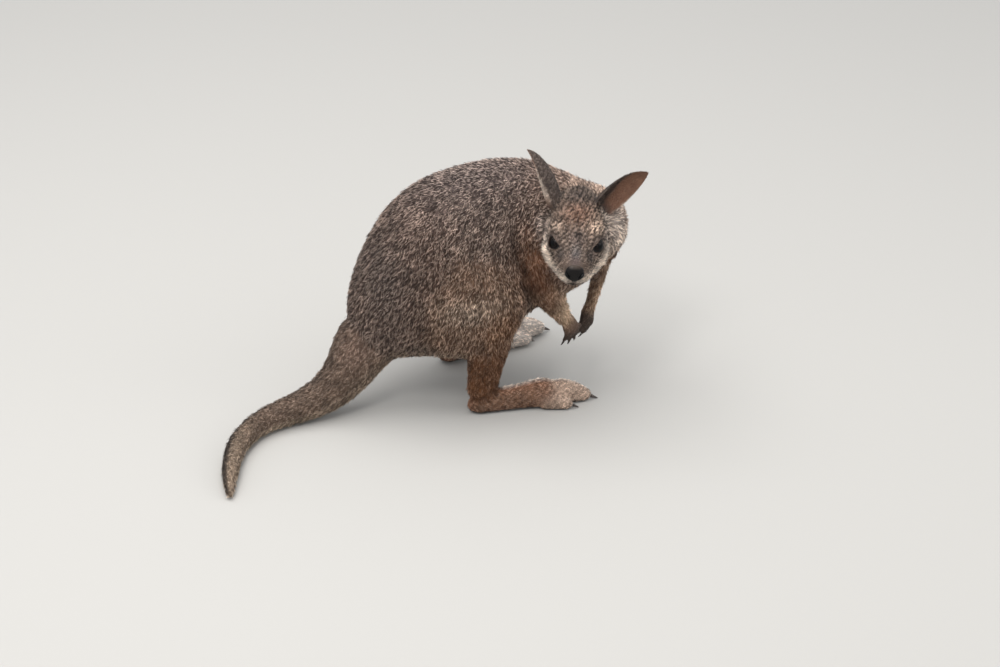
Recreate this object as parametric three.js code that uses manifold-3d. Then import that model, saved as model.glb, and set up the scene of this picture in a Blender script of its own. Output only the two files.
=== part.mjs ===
// A tammar wallaby at life size, crouched on both hind feet and its tail, with its
// forequarters and head turned to its right. Every solid gives the form out to the tips of the coat.
//
// Frame, in millimetres: +X is the way the hind quarters face, +Y the animal's left, +Z up.
// The origin is the middle of the footprint of the whole animal, on the floor.
import * as THREE from "three";
import { mergeVertices } from "three/addons/utils/BufferGeometryUtils.js";
import Module from "manifold-3d";

const wasm = await Module();
wasm.setup();

// ---------------------------------------------------------------- driving dimensions
const GAP = 0.35; // clearance that parts one sub-part from the next
const FINEST = 0.06; // detail under this is left out where sub-parts are cut
const SCALE = 1; // the animal's size against a grown female of about 4.2 kg

const HEELS = { right: [0, -55], left: [7, 59] }; // each heel on the floor, x and y
const FOOT_SPLAY = 9; // degrees that each hind foot turns out

const HEAD_PLACE = [87, -110, 217]; // the point midway between the eyes
const HEAD_TURN = -113; // degrees to the animal's right
const HEAD_NOD = 0; // degrees, nose down
const HEAD_ROLL = -3.6; // degrees, right side up
const EYE_RADIUS = 9;
const EYE_APART = 19.8; // each eyeball's centre from the middle plane of the head
const EAR_LENGTH = 76; // of which the head hides the lowest tenth
const EAR_WIDTH = 31;
const EAR_SKIN = 3.2; // thickness of the ear, coat included

// ---------------------------------------------------------------- colours and finishes
const finish = (colour, roughness) =>
  new THREE.MeshStandardMaterial({ color: colour, roughness, metalness: 0 });
const COAT = {
  back: finish(0x6b5a52, 0.95),
  flank: finish(0x75655b, 0.95),
  rufous: finish(0x6a4c38, 0.95),
  face: finish(0x7a6558, 0.95),
  foot: finish(0x8d7767, 0.95),
  hand: finish(0x3b2f29, 0.95),
  tail: finish(0x6b5a50, 0.95),
  ear: finish(0x5b4a42, 0.9),
};
const NOSE_SKIN = finish(0x1f1b1b, 0.45);
const EYE = finish(0x0b0808, 0.05);
const CLAW = finish(0x191514, 0.4);

// ---------------------------------------------------------------- smooth tables
const degrees = THREE.MathUtils.degToRad;

/** Catmull-Rom through the rows of a table, at u from 0 to the last row's number. */
function rowAt(rows, u) {
  const last = rows.length - 1;
  const i = Math.min(Math.floor(u), last - 1);
  const t = u - i;
  const before = rows[Math.max(i - 1, 0)];
  const after = rows[Math.min(i + 2, last)];
  return rows[i].map((a, k) => {
    const b = rows[i + 1][k];
    const slopeA = (b - before[k]) / 2;
    const slopeB = (after[k] - a) / 2;
    const bend = 3 * (b - a) - 2 * slopeA - slopeB;
    return a + t * (slopeA + t * (bend + t * (slopeA + slopeB - 2 * (b - a))));
  });
}

/** Lengths along the middle line of a table, so that rings can be spaced evenly. */
function measured(rows, finest = 240) {
  const last = rows.length - 1;
  const marks = [{ u: 0, s: 0 }];
  let here = new THREE.Vector3(...rows[0]);
  for (let k = 1; k <= finest; k++) {
    const u = (last * k) / finest;
    const next = new THREE.Vector3(...rowAt(rows, u).slice(0, 3));
    marks.push({ u, s: marks[k - 1].s + here.distanceTo(next) });
    here = next;
  }
  const uAt = (s) => {
    const k = marks.findIndex((mark) => mark.s >= s);
    if (k === 0) return 0;
    if (k < 0) return last;
    const [a, b] = [marks[k - 1], marks[k]];
    return a.u + ((b.u - a.u) * (s - a.s)) / (b.s - a.s);
  };
  return { length: marks[finest].s, uAt };
}

// ---------------------------------------------------------------- lofted flesh
/**
 * A closed loft. Each row is [x, y, z, side, above, below, squareness]: a point on the middle line,
 * the half width and the reach above and below it, and the section's power (2 is an ellipse).
 * domes are the lengths over which each end closes to a round cap; 0 leaves that end flat.
 * caps is the number of steps in a cap. upright keeps the sections in vertical planes.
 * across is the way that the width lies at the start, and the sections turn no more than the line.
 * from and to take a stretch of the length.
 */
function loft(rows, options) {
  const { sides, rings, domes = [0, 0], caps = 3, from = 0, to = 1 } = options;
  const { upright = false, across } = options;
  const path = measured(rows);
  const [start, end] = [path.length * from, path.length * to];
  const stops = [];
  const flat = [domes[0] === 0 || from > 0, domes[1] === 0 || to < 1];
  if (!flat[0])
    for (let k = 1; k < caps; k++)
      stops.push(domes[0] * (1 - Math.cos((k * Math.PI) / 2 / caps)));
  const bodyStart = start + (flat[0] ? 0 : domes[0]);
  const bodyEnd = end - (flat[1] ? 0 : domes[1]);
  for (let k = 0; k <= rings; k++) stops.push(bodyStart + ((bodyEnd - bodyStart) * k) / rings);
  if (!flat[1])
    for (let k = caps - 1; k > 0; k--)
      stops.push(path.length - domes[1] * (1 - Math.cos((k * Math.PI) / 2 / caps)));

  const shrink = (s) => {
    const near = domes[0] ? Math.min(1, s / domes[0]) : 1;
    const far = domes[1] ? Math.min(1, (path.length - s) / domes[1]) : 1;
    return Math.sqrt(1 - (1 - near) ** 2) * Math.sqrt(1 - (1 - far) ** 2);
  };
  const middle = (s) => new THREE.Vector3(...rowAt(rows, path.uAt(s)).slice(0, 3));
  const positions = [];
  const put = (v) => positions.push(v.x, v.y, v.z);
  put(middle(start));
  const step = path.length / 200;
  const heading = middle(start + step).sub(middle(start));
  const left = across ? new THREE.Vector3(...across) : new THREE.Vector3(0, 0, 1).cross(heading);
  for (const s of stops) {
    const [x, y, z, side, above, below, power] = rowAt(rows, path.uAt(s));
    const ahead = middle(Math.min(path.length, s + step));
    const tangent = ahead.sub(middle(Math.max(0, s - step)));
    if (upright) tangent.z = 0;
    tangent.normalize();
    left.addScaledVector(tangent, -left.dot(tangent)).normalize();
    const up = tangent.clone().cross(left);
    for (let k = 0; k < sides; k++) {
      const angle = (2 * Math.PI * (k + 0.5)) / sides;
      const [c, d] = [Math.cos(angle), Math.sin(angle)];
      const across = Math.sign(c) * Math.abs(c) ** (2 / power) * side * shrink(s);
      const rise = Math.sign(d) * Math.abs(d) ** (2 / power) * (d > 0 ? above : below) * shrink(s);
      put(new THREE.Vector3(x, y, z).addScaledVector(left, across).addScaledVector(up, rise));
    }
  }
  put(middle(end));

  const faces = [];
  const ring = (r, k) => 1 + r * sides + (k % sides);
  const lastRing = stops.length - 1;
  const far = 1 + stops.length * sides;
  for (let k = 0; k < sides; k++) {
    faces.push(0, ring(0, k + 1), ring(0, k));
    faces.push(far, ring(lastRing, k), ring(lastRing, k + 1));
    for (let r = 0; r < lastRing; r++) {
      faces.push(ring(r, k), ring(r, k + 1), ring(r + 1, k));
      faces.push(ring(r, k + 1), ring(r + 1, k + 1), ring(r + 1, k));
    }
  }
  return indexed(positions, faces);
}

function indexed(positions, faces) {
  const geometry = new THREE.BufferGeometry();
  geometry.setAttribute("position", new THREE.Float32BufferAttribute(positions, 3));
  geometry.setIndex(faces);
  return geometry;
}

/** Table rows given as [x, y, waist height, half width, top, bottom, power] turned into loft rows. */
const profile = (rows) =>
  rows.map(([x, y, waist, side, top, bottom, power]) => [
    x, y, waist, side, top - waist, waist - bottom, power,
  ]);

/** Moves each vertex of a geometry with a function of its place. */
function shaped(geometry, move) {
  const place = geometry.getAttribute("position");
  const v = new THREE.Vector3();
  for (let i = 0; i < place.count; i++) {
    v.fromBufferAttribute(place, i);
    move(v);
    place.setXYZ(i, v.x, v.y, v.z);
  }
  return geometry;
}

/** A soft bump: 1 at the centre, fading over each of the three reaches. */
function bump(v, centre, reach) {
  const [dx, dy, dz] = [v.x - centre[0], v.y - centre[1], v.z - centre[2]];
  return Math.exp(-((dx / reach[0]) ** 2) - (dy / reach[1]) ** 2 - (dz / reach[2]) ** 2);
}

// ---------------------------------------------------------------- joins and cuts
function solidOf(geometry) {
  const bare = geometry.clone();
  bare.deleteAttribute("normal");
  bare.deleteAttribute("uv");
  const merged = mergeVertices(bare, 1e-3);
  return new wasm.Manifold(
    new wasm.Mesh({
      numProp: 3,
      vertProperties: merged.attributes.position.array,
      triVerts: new Uint32Array(merged.index.array),
    }),
  );
}

function geometryOf(solid) {
  const mesh = solid.getMesh();
  return indexed(Array.from(mesh.vertProperties), Array.from(mesh.triVerts));
}

/** The largest piece that a cut leaves. */
function largest(solid) {
  return solid.decompose().reduce((a, b) => (b.volume() > a.volume() ? b : a));
}

/** A geometry swollen along its normals, to cut its place out of a neighbour. */
function swollen(geometry, by) {
  const grown = mergeVertices(geometry.clone(), 1e-3);
  grown.computeVertexNormals();
  const place = grown.getAttribute("position");
  const normal = grown.getAttribute("normal");
  for (let i = 0; i < place.count; i++)
    place.setXYZ(
      i,
      place.getX(i) + normal.getX(i) * by,
      place.getY(i) + normal.getY(i) * by,
      place.getZ(i) + normal.getZ(i) * by,
    );
  grown.deleteAttribute("normal");
  return grown;
}

/** A geometry with its hollows filled out. */
function rounded(geometry) {
  return geometryOf(solidOf(geometry).hull());
}

function joined(geometries) {
  return geometryOf(geometries.map(solidOf).reduce((a, b) => a.add(b)));
}

// ---------------------------------------------------------------- the scene
const animal = new THREE.Group();
animal.scale.setScalar(SCALE);
const sub = {};

/** Adds a named sub-part to a group, keeping its uncut shape to cut its neighbours with. */
function add(name, geometry, material, group = animal) {
  const mesh = new THREE.Mesh(geometry, material);
  mesh.name = name;
  mesh.userData.whole = geometry;
  group.add(mesh);
  sub[name] = mesh;
  return mesh;
}

/** Cuts the places of other sub-parts out of one, with the parting gap. */
function carve(name, ...others) {
  const mesh = sub[name];
  animal.updateMatrixWorld(true);
  const toMesh = mesh.matrixWorld.clone().invert();
  let solid = solidOf(mesh.geometry);
  for (const other of others) {
    const cutter = swollen(sub[other].userData.whole, GAP + 0.05);
    cutter.applyMatrix4(toMesh.clone().multiply(sub[other].matrixWorld));
    solid = solid.subtract(solidOf(cutter));
  }
  mesh.geometry = geometryOf(largest(solid).asOriginal().simplify(FINEST));
}

const SIDES = { right: -1, left: 1 };
const bothSides = (build) => Object.entries(SIDES).forEach(([name, side]) => build(name, side));

// ---------------------------------------------------------------- trunk
// Rows: x, y, waist height, half width, top, bottom, power. The last rows turn to the right.
const TRUNK = profile([
  [-130, 0, 122, 28, 142, 92, 2.0],
  [-117, 0, 125, 39, 162, 74, 2.05],
  [-99, 0, 130, 51, 200, 64, 2.1],
  [-73, 0, 135, 64, 234, 61, 2.2],
  [-38, 0, 138, 72, 258, 59, 2.2],
  [4, 0, 142, 73, 267, 62, 2.2],
  [40, -1, 150, 69, 270, 72, 2.2],
  [74, -6, 162, 62, 267, 90, 2.15],
  [102, -18, 171, 58, 255, 108, 2.1],
  [124, -36, 176, 60, 240, 122, 2.1],
  [146, -62, 180, 54, 226, 138, 2.1],
]);
const TRUNK_CUTS = [0, 0.34, 0.66, 1];

function buildTrunk() {
  const names = ["rump", "belly", "chest"];
  const length = measured(TRUNK).length;
  const half = GAP / 2 / length;
  names.forEach((name, k) => {
    const from = k ? TRUNK_CUTS[k] + half : 0;
    const to = k < 2 ? TRUNK_CUTS[k + 1] - half : 1;
    const geometry = loft(TRUNK, {
      sides: 20, rings: 5, domes: [22, 36], upright: true, from, to,
    });
    add(name, geometry, k === 2 ? COAT.flank : COAT.back);
  });
}

// ---------------------------------------------------------------- tail
// The tail leaves the rump low, comes down to the floor and curls round to the animal's right.
const TAIL = [
  [-92, 0, 100, 36, 40, 40, 2],
  [-114, 0, 74, 31, 34, 34, 2],
  [-136, -2, 44, 25, 27, 27, 2],
  [-163, -3, 25, 20, 21, 22, 2],
  [-194, -5, 17.5, 16.5, 17, 18, 2],
  [-225, -10, 14.5, 14, 14.5, 15, 2],
  [-253, -26, 12.8, 12.6, 13, 13.5, 2],
  [-275, -53, 11.6, 11.4, 12, 12.3, 2],
  [-289, -84, 10.4, 10, 10.5, 11, 2],
  [-298, -110, 7.6, 7, 7.6, 8, 2],
  [-303, -130, 4.6, 4, 4.6, 5, 2],
];
const TAIL_LENGTHS = 5;

function buildTail() {
  const length = measured(TAIL).length;
  const half = GAP / 2 / length;
  for (let k = 0; k < TAIL_LENGTHS; k++) {
    const from = k ? k / TAIL_LENGTHS + half : 0;
    const to = k < TAIL_LENGTHS - 1 ? (k + 1) / TAIL_LENGTHS - half : 1;
    const geometry = loft(TAIL, { sides: 12, rings: 3, caps: 2, domes: [24, 7], from, to });
    add(`tail_${k + 1}`, onFloor(geometry), COAT.tail);
  }
}

/** Presses what would go under the floor flat against it. */
function onFloor(geometry) {
  return shaped(geometry, (v) => {
    v.z = Math.max(v.z, 0);
  });
}

// ---------------------------------------------------------------- hind legs
const thighRows = (side) => [
  [-62, side * 34, 150, 30, 48, 52, 2],
  [-34, side * 46, 138, 37, 64, 68, 2.1],
  [0, side * 53, 125, 37, 62, 60, 2.1],
  [28, side * 58, 112, 31, 46, 46, 2.1],
  [46, side * 60, 104, 24, 32, 32, 2],
];
const shankRows = (side) => [
  [11, side * 62, 112, 20, 28, 32, 2],
  [9, side * 61, 88, 21, 26, 29, 2],
  [6, side * 58, 62, 18, 22, 22, 2],
  [3.5, side * 56, 38, 15, 19.5, 19.5, 2],
  [-0.5, side * 55, 14, 13, 16.5, 17, 2],
];

/** The long hind foot, in its own frame: +X to the toes, +Y to the outer side times side. */
const SOLE_ROWS = profile([
  [-16, 0, 9, 9, 17, 0.5, 2.2],
  [-4, 0, 10, 12, 24, -1, 2.3],
  [20, 0, 11, 12, 26, -1.5, 2.3],
  [46, 0, 12, 12.5, 29, -1.5, 2.3],
  [68, 0, 13, 14.5, 33, -1.5, 2.3],
  [84, 0, 12, 14.5, 30, -1.5, 2.3],
]);
// Each toe: start, knuckle and tip as [x, outward y, z, half width, above, below].
const TOES = {
  toe_fourth: [
    [70, 0, 15, 9.5, 14, 18, 2.2],
    [88, 0.5, 16, 10, 15, 20, 2.2],
    [104, 1, 13, 9.5, 12, 17, 2.2],
    [117, 1.5, 8.5, 7, 8, 11, 2.2],
    [124, 1.5, 6, 5, 5, 8, 2.2],
  ],
  toe_fifth: [
    [62, 9, 9, 6, 8, 11, 2.2],
    [80, 13, 10.5, 6.2, 8.5, 13, 2.2],
    [93, 16, 8, 5.4, 6.5, 11, 2.2],
    [100, 17, 5.5, 4, 4.5, 8, 2.2],
  ],
  toes_second_third: [
    [62, -9, 9, 5.5, 7.5, 11, 2.2],
    [80, -12, 10, 6, 7.5, 13, 2.2],
    [92, -13.5, 8, 5.4, 6, 11, 2.2],
    [98, -14, 6, 4.2, 4.5, 8, 2.2],
  ],
};
// Claws: the toe each grows from, root [x, outward y, z], length and root radius.
const HIND_CLAWS = {
  claw_fourth: ["toe_fourth", [119, 1.5, 7.5], 17, 4],
  claw_fifth: ["toe_fifth", [97, 16.5, 6.5], 13, 3],
  claw_third: ["toes_second_third", [96, -12, 6.5], 8, 1.7],
  claw_second: ["toes_second_third", [95, -16.2, 6.5], 8, 1.7],
};

function buildHindLeg(name, side) {
  const thigh = loft(thighRows(side), { sides: 16, rings: 5, caps: 2, domes: [30, 24] });
  add(`thigh_${name}`, thigh, COAT.flank);
  const rows = shankRows(side).map(([x, y, ...rest], k) => [
    x + (HEELS[name][0] * k) / 4,
    y + ((HEELS[name][1] - side * 55) * k) / 4,
    ...rest,
  ]);
  const shank = loft(rows, { sides: 12, rings: 4, caps: 2, domes: [18, 9], across: [0, 1, 0] });
  add(`shank_${name}`, onFloor(shank), COAT.rufous);

  const foot = new THREE.Group();
  foot.position.set(HEELS[name][0], HEELS[name][1], 0);
  foot.rotation.z = side * degrees(FOOT_SPLAY);
  animal.add(foot);
  const sole = loft(SOLE_ROWS, { sides: 12, rings: 5, caps: 2, domes: [12, 9], upright: true });
  add(`foot_${name}`, onFloor(sole), COAT.foot, foot);
  for (const [toe, rows] of Object.entries(TOES)) {
    const placed = rows.map(([x, y, ...rest]) => [x, side * y, ...rest]);
    const geometry = loft(placed, { sides: 8, rings: 3, caps: 2, domes: [6, 5] });
    add(`${toe}_${name}`, onFloor(geometry), COAT.foot, foot);
  }
  for (const [claw, [toe, root, length, radius]] of Object.entries(HIND_CLAWS)) {
    const place = [root[0] - radius, side * root[1], root[2]];
    add(`${claw}_${name}`, clawShape(place, [1, 0, -0.22], length, radius), CLAW, foot);
    carve(`${claw}_${name}`, `${toe}_${name}`);
  }
  carve(`toe_fifth_${name}`, `toe_fourth_${name}`);
  carve(`toes_second_third_${name}`, `toe_fourth_${name}`);
  for (const toe of Object.keys(TOES)) carve(`${toe}_${name}`, `foot_${name}`);
  carve(`foot_${name}`, `shank_${name}`);
  carve(`shank_${name}`, `thigh_${name}`);
}

/** A claw: a cone that curves down, from its root along a direction. */
function clawShape(root, direction, length, radius) {
  const start = new THREE.Vector3(...root);
  const ahead = new THREE.Vector3(...direction).normalize();
  const rows = [0, 0.3, 0.6, 0.85, 1].map((t) => {
    const droop = -0.2 * length * t * t;
    const point = start.clone().addScaledVector(ahead, length * t);
    const width = radius * (1 - 0.86 * t ** 1.3);
    return [point.x, point.y, Math.max(point.z + droop, width * 0.9 + 0.2), width * 0.8, width, width, 2];
  });
  return onFloor(loft(rows, { sides: 6, rings: 2, caps: 1, domes: [radius, radius * 0.14] }));
}

// ---------------------------------------------------------------- arms and hands
const ARMS = {
  right: {
    upper: [
      [62, -38, 196, 24, 28, 28, 2],
      [64, -52, 168, 21, 25, 25, 2],
      [70, -58, 138, 15, 17, 17, 2],
    ],
    fore: [
      [64, -58, 156, 16, 17, 17, 2],
      [80, -56, 126, 14, 17, 17, 2],
      [93, -52, 104, 10.5, 12.5, 12, 2],
      [103, -48, 86, 8.5, 8.8, 8.8, 2],
    ],
    wrist: [104, -48.5, 89],
    reach: [17, 5, -38],
    palmFaces: [-0.3, 0.95, -0.1],
  },
  left: {
    upper: [
      [146, -6, 190, 22, 26, 24, 2],
      [162, -8, 162, 20, 23, 24, 2],
      [163, -9, 130, 13, 13, 14, 2],
    ],
    fore: [
      [163, -9, 150, 13, 14, 14, 2],
      [157, -8, 112, 10, 9.5, 10, 2],
      [151.5, -8, 90, 8.2, 8, 8, 2],
      [146, -8, 70, 8.5, 8, 8, 2],
    ],
    wrist: [145.5, -8, 73],
    reach: [-5, -1, -34],
    palmFaces: [-0.4, 0.9, 0.1],
  },
};

// The hand, in its own frame: +X to the fingertips, +Y across, +Z out of its back.
const PALM = [
  [-6, 0, 0, 8, 7.5, 7, 2.2],
  [4, 0, 0, 9, 6.5, 6, 2.3],
  [14, 0, 0, 10.5, 5.8, 5.2, 2.4],
  [22, 0, 0, 10, 4.8, 4.4, 2.4],
];
// Fingers: place across the palm's end, angle outwards in degrees, length.
const FINGERS = [
  [-7.8, -28, 12],
  [-4.2, -12, 16],
  [0, 0, 17.5],
  [4.2, 12, 16],
  [7.8, 28, 12],
];
const FINGER_RADIUS = 2.7;
const FINGER_CLAW = 8.5;

function fingerPath([across, angle, length]) {
  const turn = degrees(angle);
  const ahead = [Math.cos(turn), Math.sin(turn)];
  const at = (t) => [
    15 - 4 * Math.abs(Math.sin(turn)) + ahead[0] * length * t,
    across + ahead[1] * length * t,
    0.5 - 5 * t * t,
  ];
  return { ahead, at };
}

function buildArm(name) {
  const arm = ARMS[name];
  const across = [0, 1, 0];
  const upper = loft(arm.upper, { sides: 12, rings: 3, caps: 2, domes: [24, 9], across });
  add(`upper_arm_${name}`, upper, COAT.rufous);
  const fore = loft(arm.fore, { sides: 12, rings: 4, caps: 2, domes: [13, 6], across });
  add(`forearm_${name}`, fore, COAT.rufous);

  const hand = new THREE.Group();
  const ahead = new THREE.Vector3(...arm.reach).normalize();
  const back = new THREE.Vector3(...arm.palmFaces).negate();
  const width = back.cross(ahead).normalize();
  hand.matrix.makeBasis(ahead, width, ahead.clone().cross(width));
  hand.quaternion.setFromRotationMatrix(hand.matrix);
  hand.position.set(...arm.wrist);
  animal.add(hand);

  const fingers = FINGERS.map((finger) => {
    const { at } = fingerPath(finger);
    const rows = [0, 0.5, 1].map((t) => {
      const radius = FINGER_RADIUS * (1 - 0.12 * t);
      return [...at(t), radius, radius, radius, 2];
    });
    return loft(rows, { sides: 6, rings: 2, caps: 1, domes: [1.5, 1.5] });
  });
  const palm = loft(PALM, { sides: 8, rings: 2, caps: 2, domes: [6, 5] });
  add(`hand_${name}`, joined([palm, ...fingers]), COAT.hand, hand);
  FINGERS.forEach((finger, k) => {
    const { ahead: way, at } = fingerPath(finger);
    const claw = clawInAir(at(0.86), [way[0], way[1], -0.35], FINGER_CLAW, 1.75);
    add(`hand_claw_${k + 1}_${name}`, claw, CLAW, hand);
    carve(`hand_claw_${k + 1}_${name}`, `hand_${name}`);
  });
  carve(`hand_${name}`, `forearm_${name}`);
  carve(`forearm_${name}`, `upper_arm_${name}`);
  carve("chest", `upper_arm_${name}`, `forearm_${name}`);
}

/** A finger's claw, which curves to the palm side and touches nothing. */
function clawInAir(root, direction, length, radius) {
  const start = new THREE.Vector3(...root);
  const ahead = new THREE.Vector3(...direction).normalize();
  const rows = [0, 0.35, 0.7, 1].map((t) => {
    const point = start.clone().addScaledVector(ahead, length * t);
    const width = radius * (1 - 0.78 * t ** 1.2);
    return [point.x, point.y, point.z - 0.28 * length * t * t, width * 0.8, width, width, 2];
  });
  return loft(rows, { sides: 6, rings: 2, caps: 1, domes: [radius, 0.3] });
}

// ---------------------------------------------------------------- neck and head
const NECK = [
  [96, -14, 196, 52, 54, 60, 2],
  [119, -32, 200, 48, 46, 58, 2],
  [126, -52, 207, 44, 39, 48, 2],
  [118, -74, 213, 36, 33, 38, 2],
  [106, -96, 217, 26, 26, 28, 2],
];

// The head, in its own frame: the origin midway between the eyes, +X to the nose, +Z up.
const HEAD = profile([
  [-72, 0, 4, 20, 30, -12, 2.0],
  [-60, 0, 2, 27, 40, -24, 2.0],
  [-48, 0, -2, 31, 39.5, -31, 2.05],
  [-36, 0, -6, 33.5, 37.5, -36, 2.1],
  [-24, 0, -10, 34.5, 34.5, -39, 2.15],
  [-12, 0, -13, 34.5, 29, -39.5, 2.2],
  [0, 0, -12, 31, 20.5, -39, 2.3],
  [10, 0, -12, 26.5, 12.5, -38.5, 2.3],
  [20, 0, -14, 21.5, 6, -37, 2.3],
  [30, 0, -15.5, 17, 0.5, -34.5, 2.3],
  [39, 0, -17, 12.5, -5, -31, 2.3],
]);

/** Brows over the eyes, hollows before them, cheeks, and the slope of the lower lip. */
function faceForm(v) {
  const side = Math.sign(v.y);
  const out = bump(v, [-6, side * 22, 13], [12, 9, 8]);
  v.z += 3.2 * out;
  v.y += side * 1.6 * out;
  const hollow = bump(v, [9, side * 20, -2], [8, 10, 7]);
  v.y -= side * 2.8 * hollow;
  const pad = bump(v, [31, side * 12, -19], [9, 8, 8]);
  v.y += side * 1.6 * pad;
  const groove = bump(v, [18, 0, 8], [22, 5, 8]);
  v.z -= 0.7 * groove;
}

function buildHead() {
  const head = new THREE.Group();
  head.position.set(...HEAD_PLACE);
  head.rotation.order = "ZYX";
  head.rotation.set(degrees(HEAD_ROLL), degrees(HEAD_NOD), degrees(HEAD_TURN));
  animal.add(head);
  const skull = loft(HEAD, { sides: 22, rings: 12, domes: [16, 9], upright: true });
  add("head", shaped(skull, faceForm), COAT.face, head);

  const nose = loft(
    profile([
      [34, 0, -12, 7, -6, -18, 2.4],
      [38, 0, -12.5, 9.2, -4.8, -19.5, 2.5],
      [42.5, 0, -13.5, 8.2, -6.5, -20.5, 2.4],
    ]),
    { sides: 12, rings: 2, caps: 2, domes: [3, 3.5], upright: true },
  );
  add("nose", nose, NOSE_SKIN, head);
  carve("head", "nose");

  bothSides((name, side) => {
    const ball = new THREE.SphereGeometry(EYE_RADIUS, 12, 8);
    ball.translate(1.6, side * EYE_APART, 0.6);
    add(`eye_${name}`, mergedSphere(ball), EYE, head);
    carve("head", `eye_${name}`);
    buildEar(name, side, head);
  });
  return head;
}

function mergedSphere(ball) {
  ball.deleteAttribute("normal");
  ball.deleteAttribute("uv");
  return mergeVertices(ball, 1e-3);
}

// Ears: where the base is, where the tip points, and the way the hollow faces, in the head's frame.
const EARS = {
  right: { base: [-39, -18, 17], tip: [-0.15, -0.54, 0.84], hollow: [-0.25, -0.95, 0.0] },
  left: { base: [-40, 16, 17], tip: [0.05, 0.7, 0.69], hollow: [0.88, 0.42, 0.05] },
};
// Along the ear, from base to tip: [share of the length, half width share, half opening in degrees].
const EAR_TABLE = [
  [0, 0.56, 120],
  [0.12, 0.78, 118],
  [0.28, 0.94, 106],
  [0.45, 1.0, 92],
  [0.62, 0.96, 76],
  [0.78, 0.78, 64],
  [0.9, 0.5, 56],
  [0.97, 0.26, 52],
  [1, 0.1, 50],
];

/** A cupped leaf: arcs of an oval along the ear, with a wall of even thickness. */
function buildEar(name, side, head) {
  const { base, tip, hollow } = EARS[name];
  const along = new THREE.Vector3(...tip).normalize();
  const facing = new THREE.Vector3(...hollow);
  facing.addScaledVector(along, -facing.dot(along)).normalize();
  const across = facing.clone().cross(along);
  const rings = 9;
  const arcSteps = 6;
  const perRing = 2 * (arcSteps + 1);
  const positions = [];
  for (let r = 0; r <= rings; r++) {
    const u = ((EAR_TABLE.length - 1) * r) / rings;
    const [t, widthShare, opening] = rowAt(EAR_TABLE, u);
    const half = (widthShare * EAR_WIDTH) / 2;
    const arc = degrees(opening);
    const radius = half / Math.sin(Math.min(arc, Math.PI / 2));
    const centre = new THREE.Vector3(...base).addScaledVector(along, t * EAR_LENGTH);
    const lean = 5 * Math.sin(Math.PI * t);
    centre.addScaledVector(facing, -lean);
    const wall = Math.min(EAR_SKIN, radius * 0.8);
    for (let k = 0; k < perRing; k++) {
      const outer = k <= arcSteps;
      const step = outer ? k : perRing - 1 - k;
      const angle = -arc + (2 * arc * step) / arcSteps;
      const rim = 1 - 0.35 * Math.abs(step / arcSteps - 0.5) * 2;
      const reach = outer ? radius : radius - wall * rim;
      positions.push(
        ...centre
          .clone()
          .addScaledVector(across, reach * Math.sin(angle))
          .addScaledVector(facing, half * 0.35 - reach * Math.cos(angle) * 0.8)
          .toArray(),
      );
    }
  }
  const faces = [];
  const at = (r, k) => r * perRing + (k % perRing);
  for (let r = 0; r < rings; r++)
    for (let k = 0; k < perRing; k++) {
      faces.push(at(r, k), at(r + 1, k), at(r, k + 1));
      faces.push(at(r, k + 1), at(r + 1, k), at(r + 1, k + 1));
    }
  for (const r of [0, rings])
    for (let k = 0; k < arcSteps; k++) {
      const quad = [at(r, k), at(r, k + 1), at(r, perRing - 2 - k), at(r, perRing - 1 - k)];
      const order = r === 0 ? [0, 1, 2, 0, 2, 3] : [2, 1, 0, 3, 2, 0];
      faces.push(...order.map((i) => quad[i]));
    }
  add(`ear_${name}`, facingOut(indexed(positions, faces)), COAT.ear, head);
  carve(`ear_${name}`, "head");
  sub[`ear_${name}`].userData.whole = rounded(sub[`ear_${name}`].geometry);
}

/** Turns a closed geometry's faces round where they point inwards. */
function facingOut(geometry) {
  if (solidOf(geometry).volume() > 0) return geometry;
  const faces = geometry.index.array;
  for (let i = 0; i < faces.length; i += 3) [faces[i], faces[i + 1]] = [faces[i + 1], faces[i]];
  return geometry;
}

// ---------------------------------------------------------------- assembly
buildTrunk();
buildTail();
bothSides(buildHindLeg);
const neck = loft(NECK, { sides: 16, rings: 5, caps: 2, domes: [30, 16] });
add("neck", rounded(neck), COAT.rufous);
buildHead();
bothSides(buildArm);
carve("tail_1", "rump", "belly");
carve("rump", "thigh_right", "thigh_left");
carve("belly", "thigh_right", "thigh_left", "shank_right", "shank_left");
carve("belly", "upper_arm_right", "forearm_right");
carve("chest", "neck", "head");
carve("thigh_right", "upper_arm_right");
carve("neck", "head", "ear_right", "ear_left", "upper_arm_right", "upper_arm_left");

/** Sets the group down so that the footprint's middle is over the origin. */
function centred(group) {
  group.updateMatrixWorld(true);
  const box = new THREE.Box3().setFromObject(group, true);
  const middle = box.getCenter(new THREE.Vector3());
  group.position.set(-middle.x, -middle.y, -box.min.z);
  group.updateMatrixWorld(true);
  return group;
}

export default centred(animal);
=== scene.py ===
"""A tammar wallaby at life size, standing, with its coat: one still model.

One skin is merged from the frame's sub-parts of flesh, evened out and let in by the
depth of the coat. The face is worked into it, and tufts of solid mesh stand on it."""

import math

import bmesh
import bpy
import numpy as np
from bpy.props import FloatProperty, FloatVectorProperty, IntProperty, PointerProperty
from mathutils import Euler, Matrix, Vector
from mathutils.bvhtree import BVHTree


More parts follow.
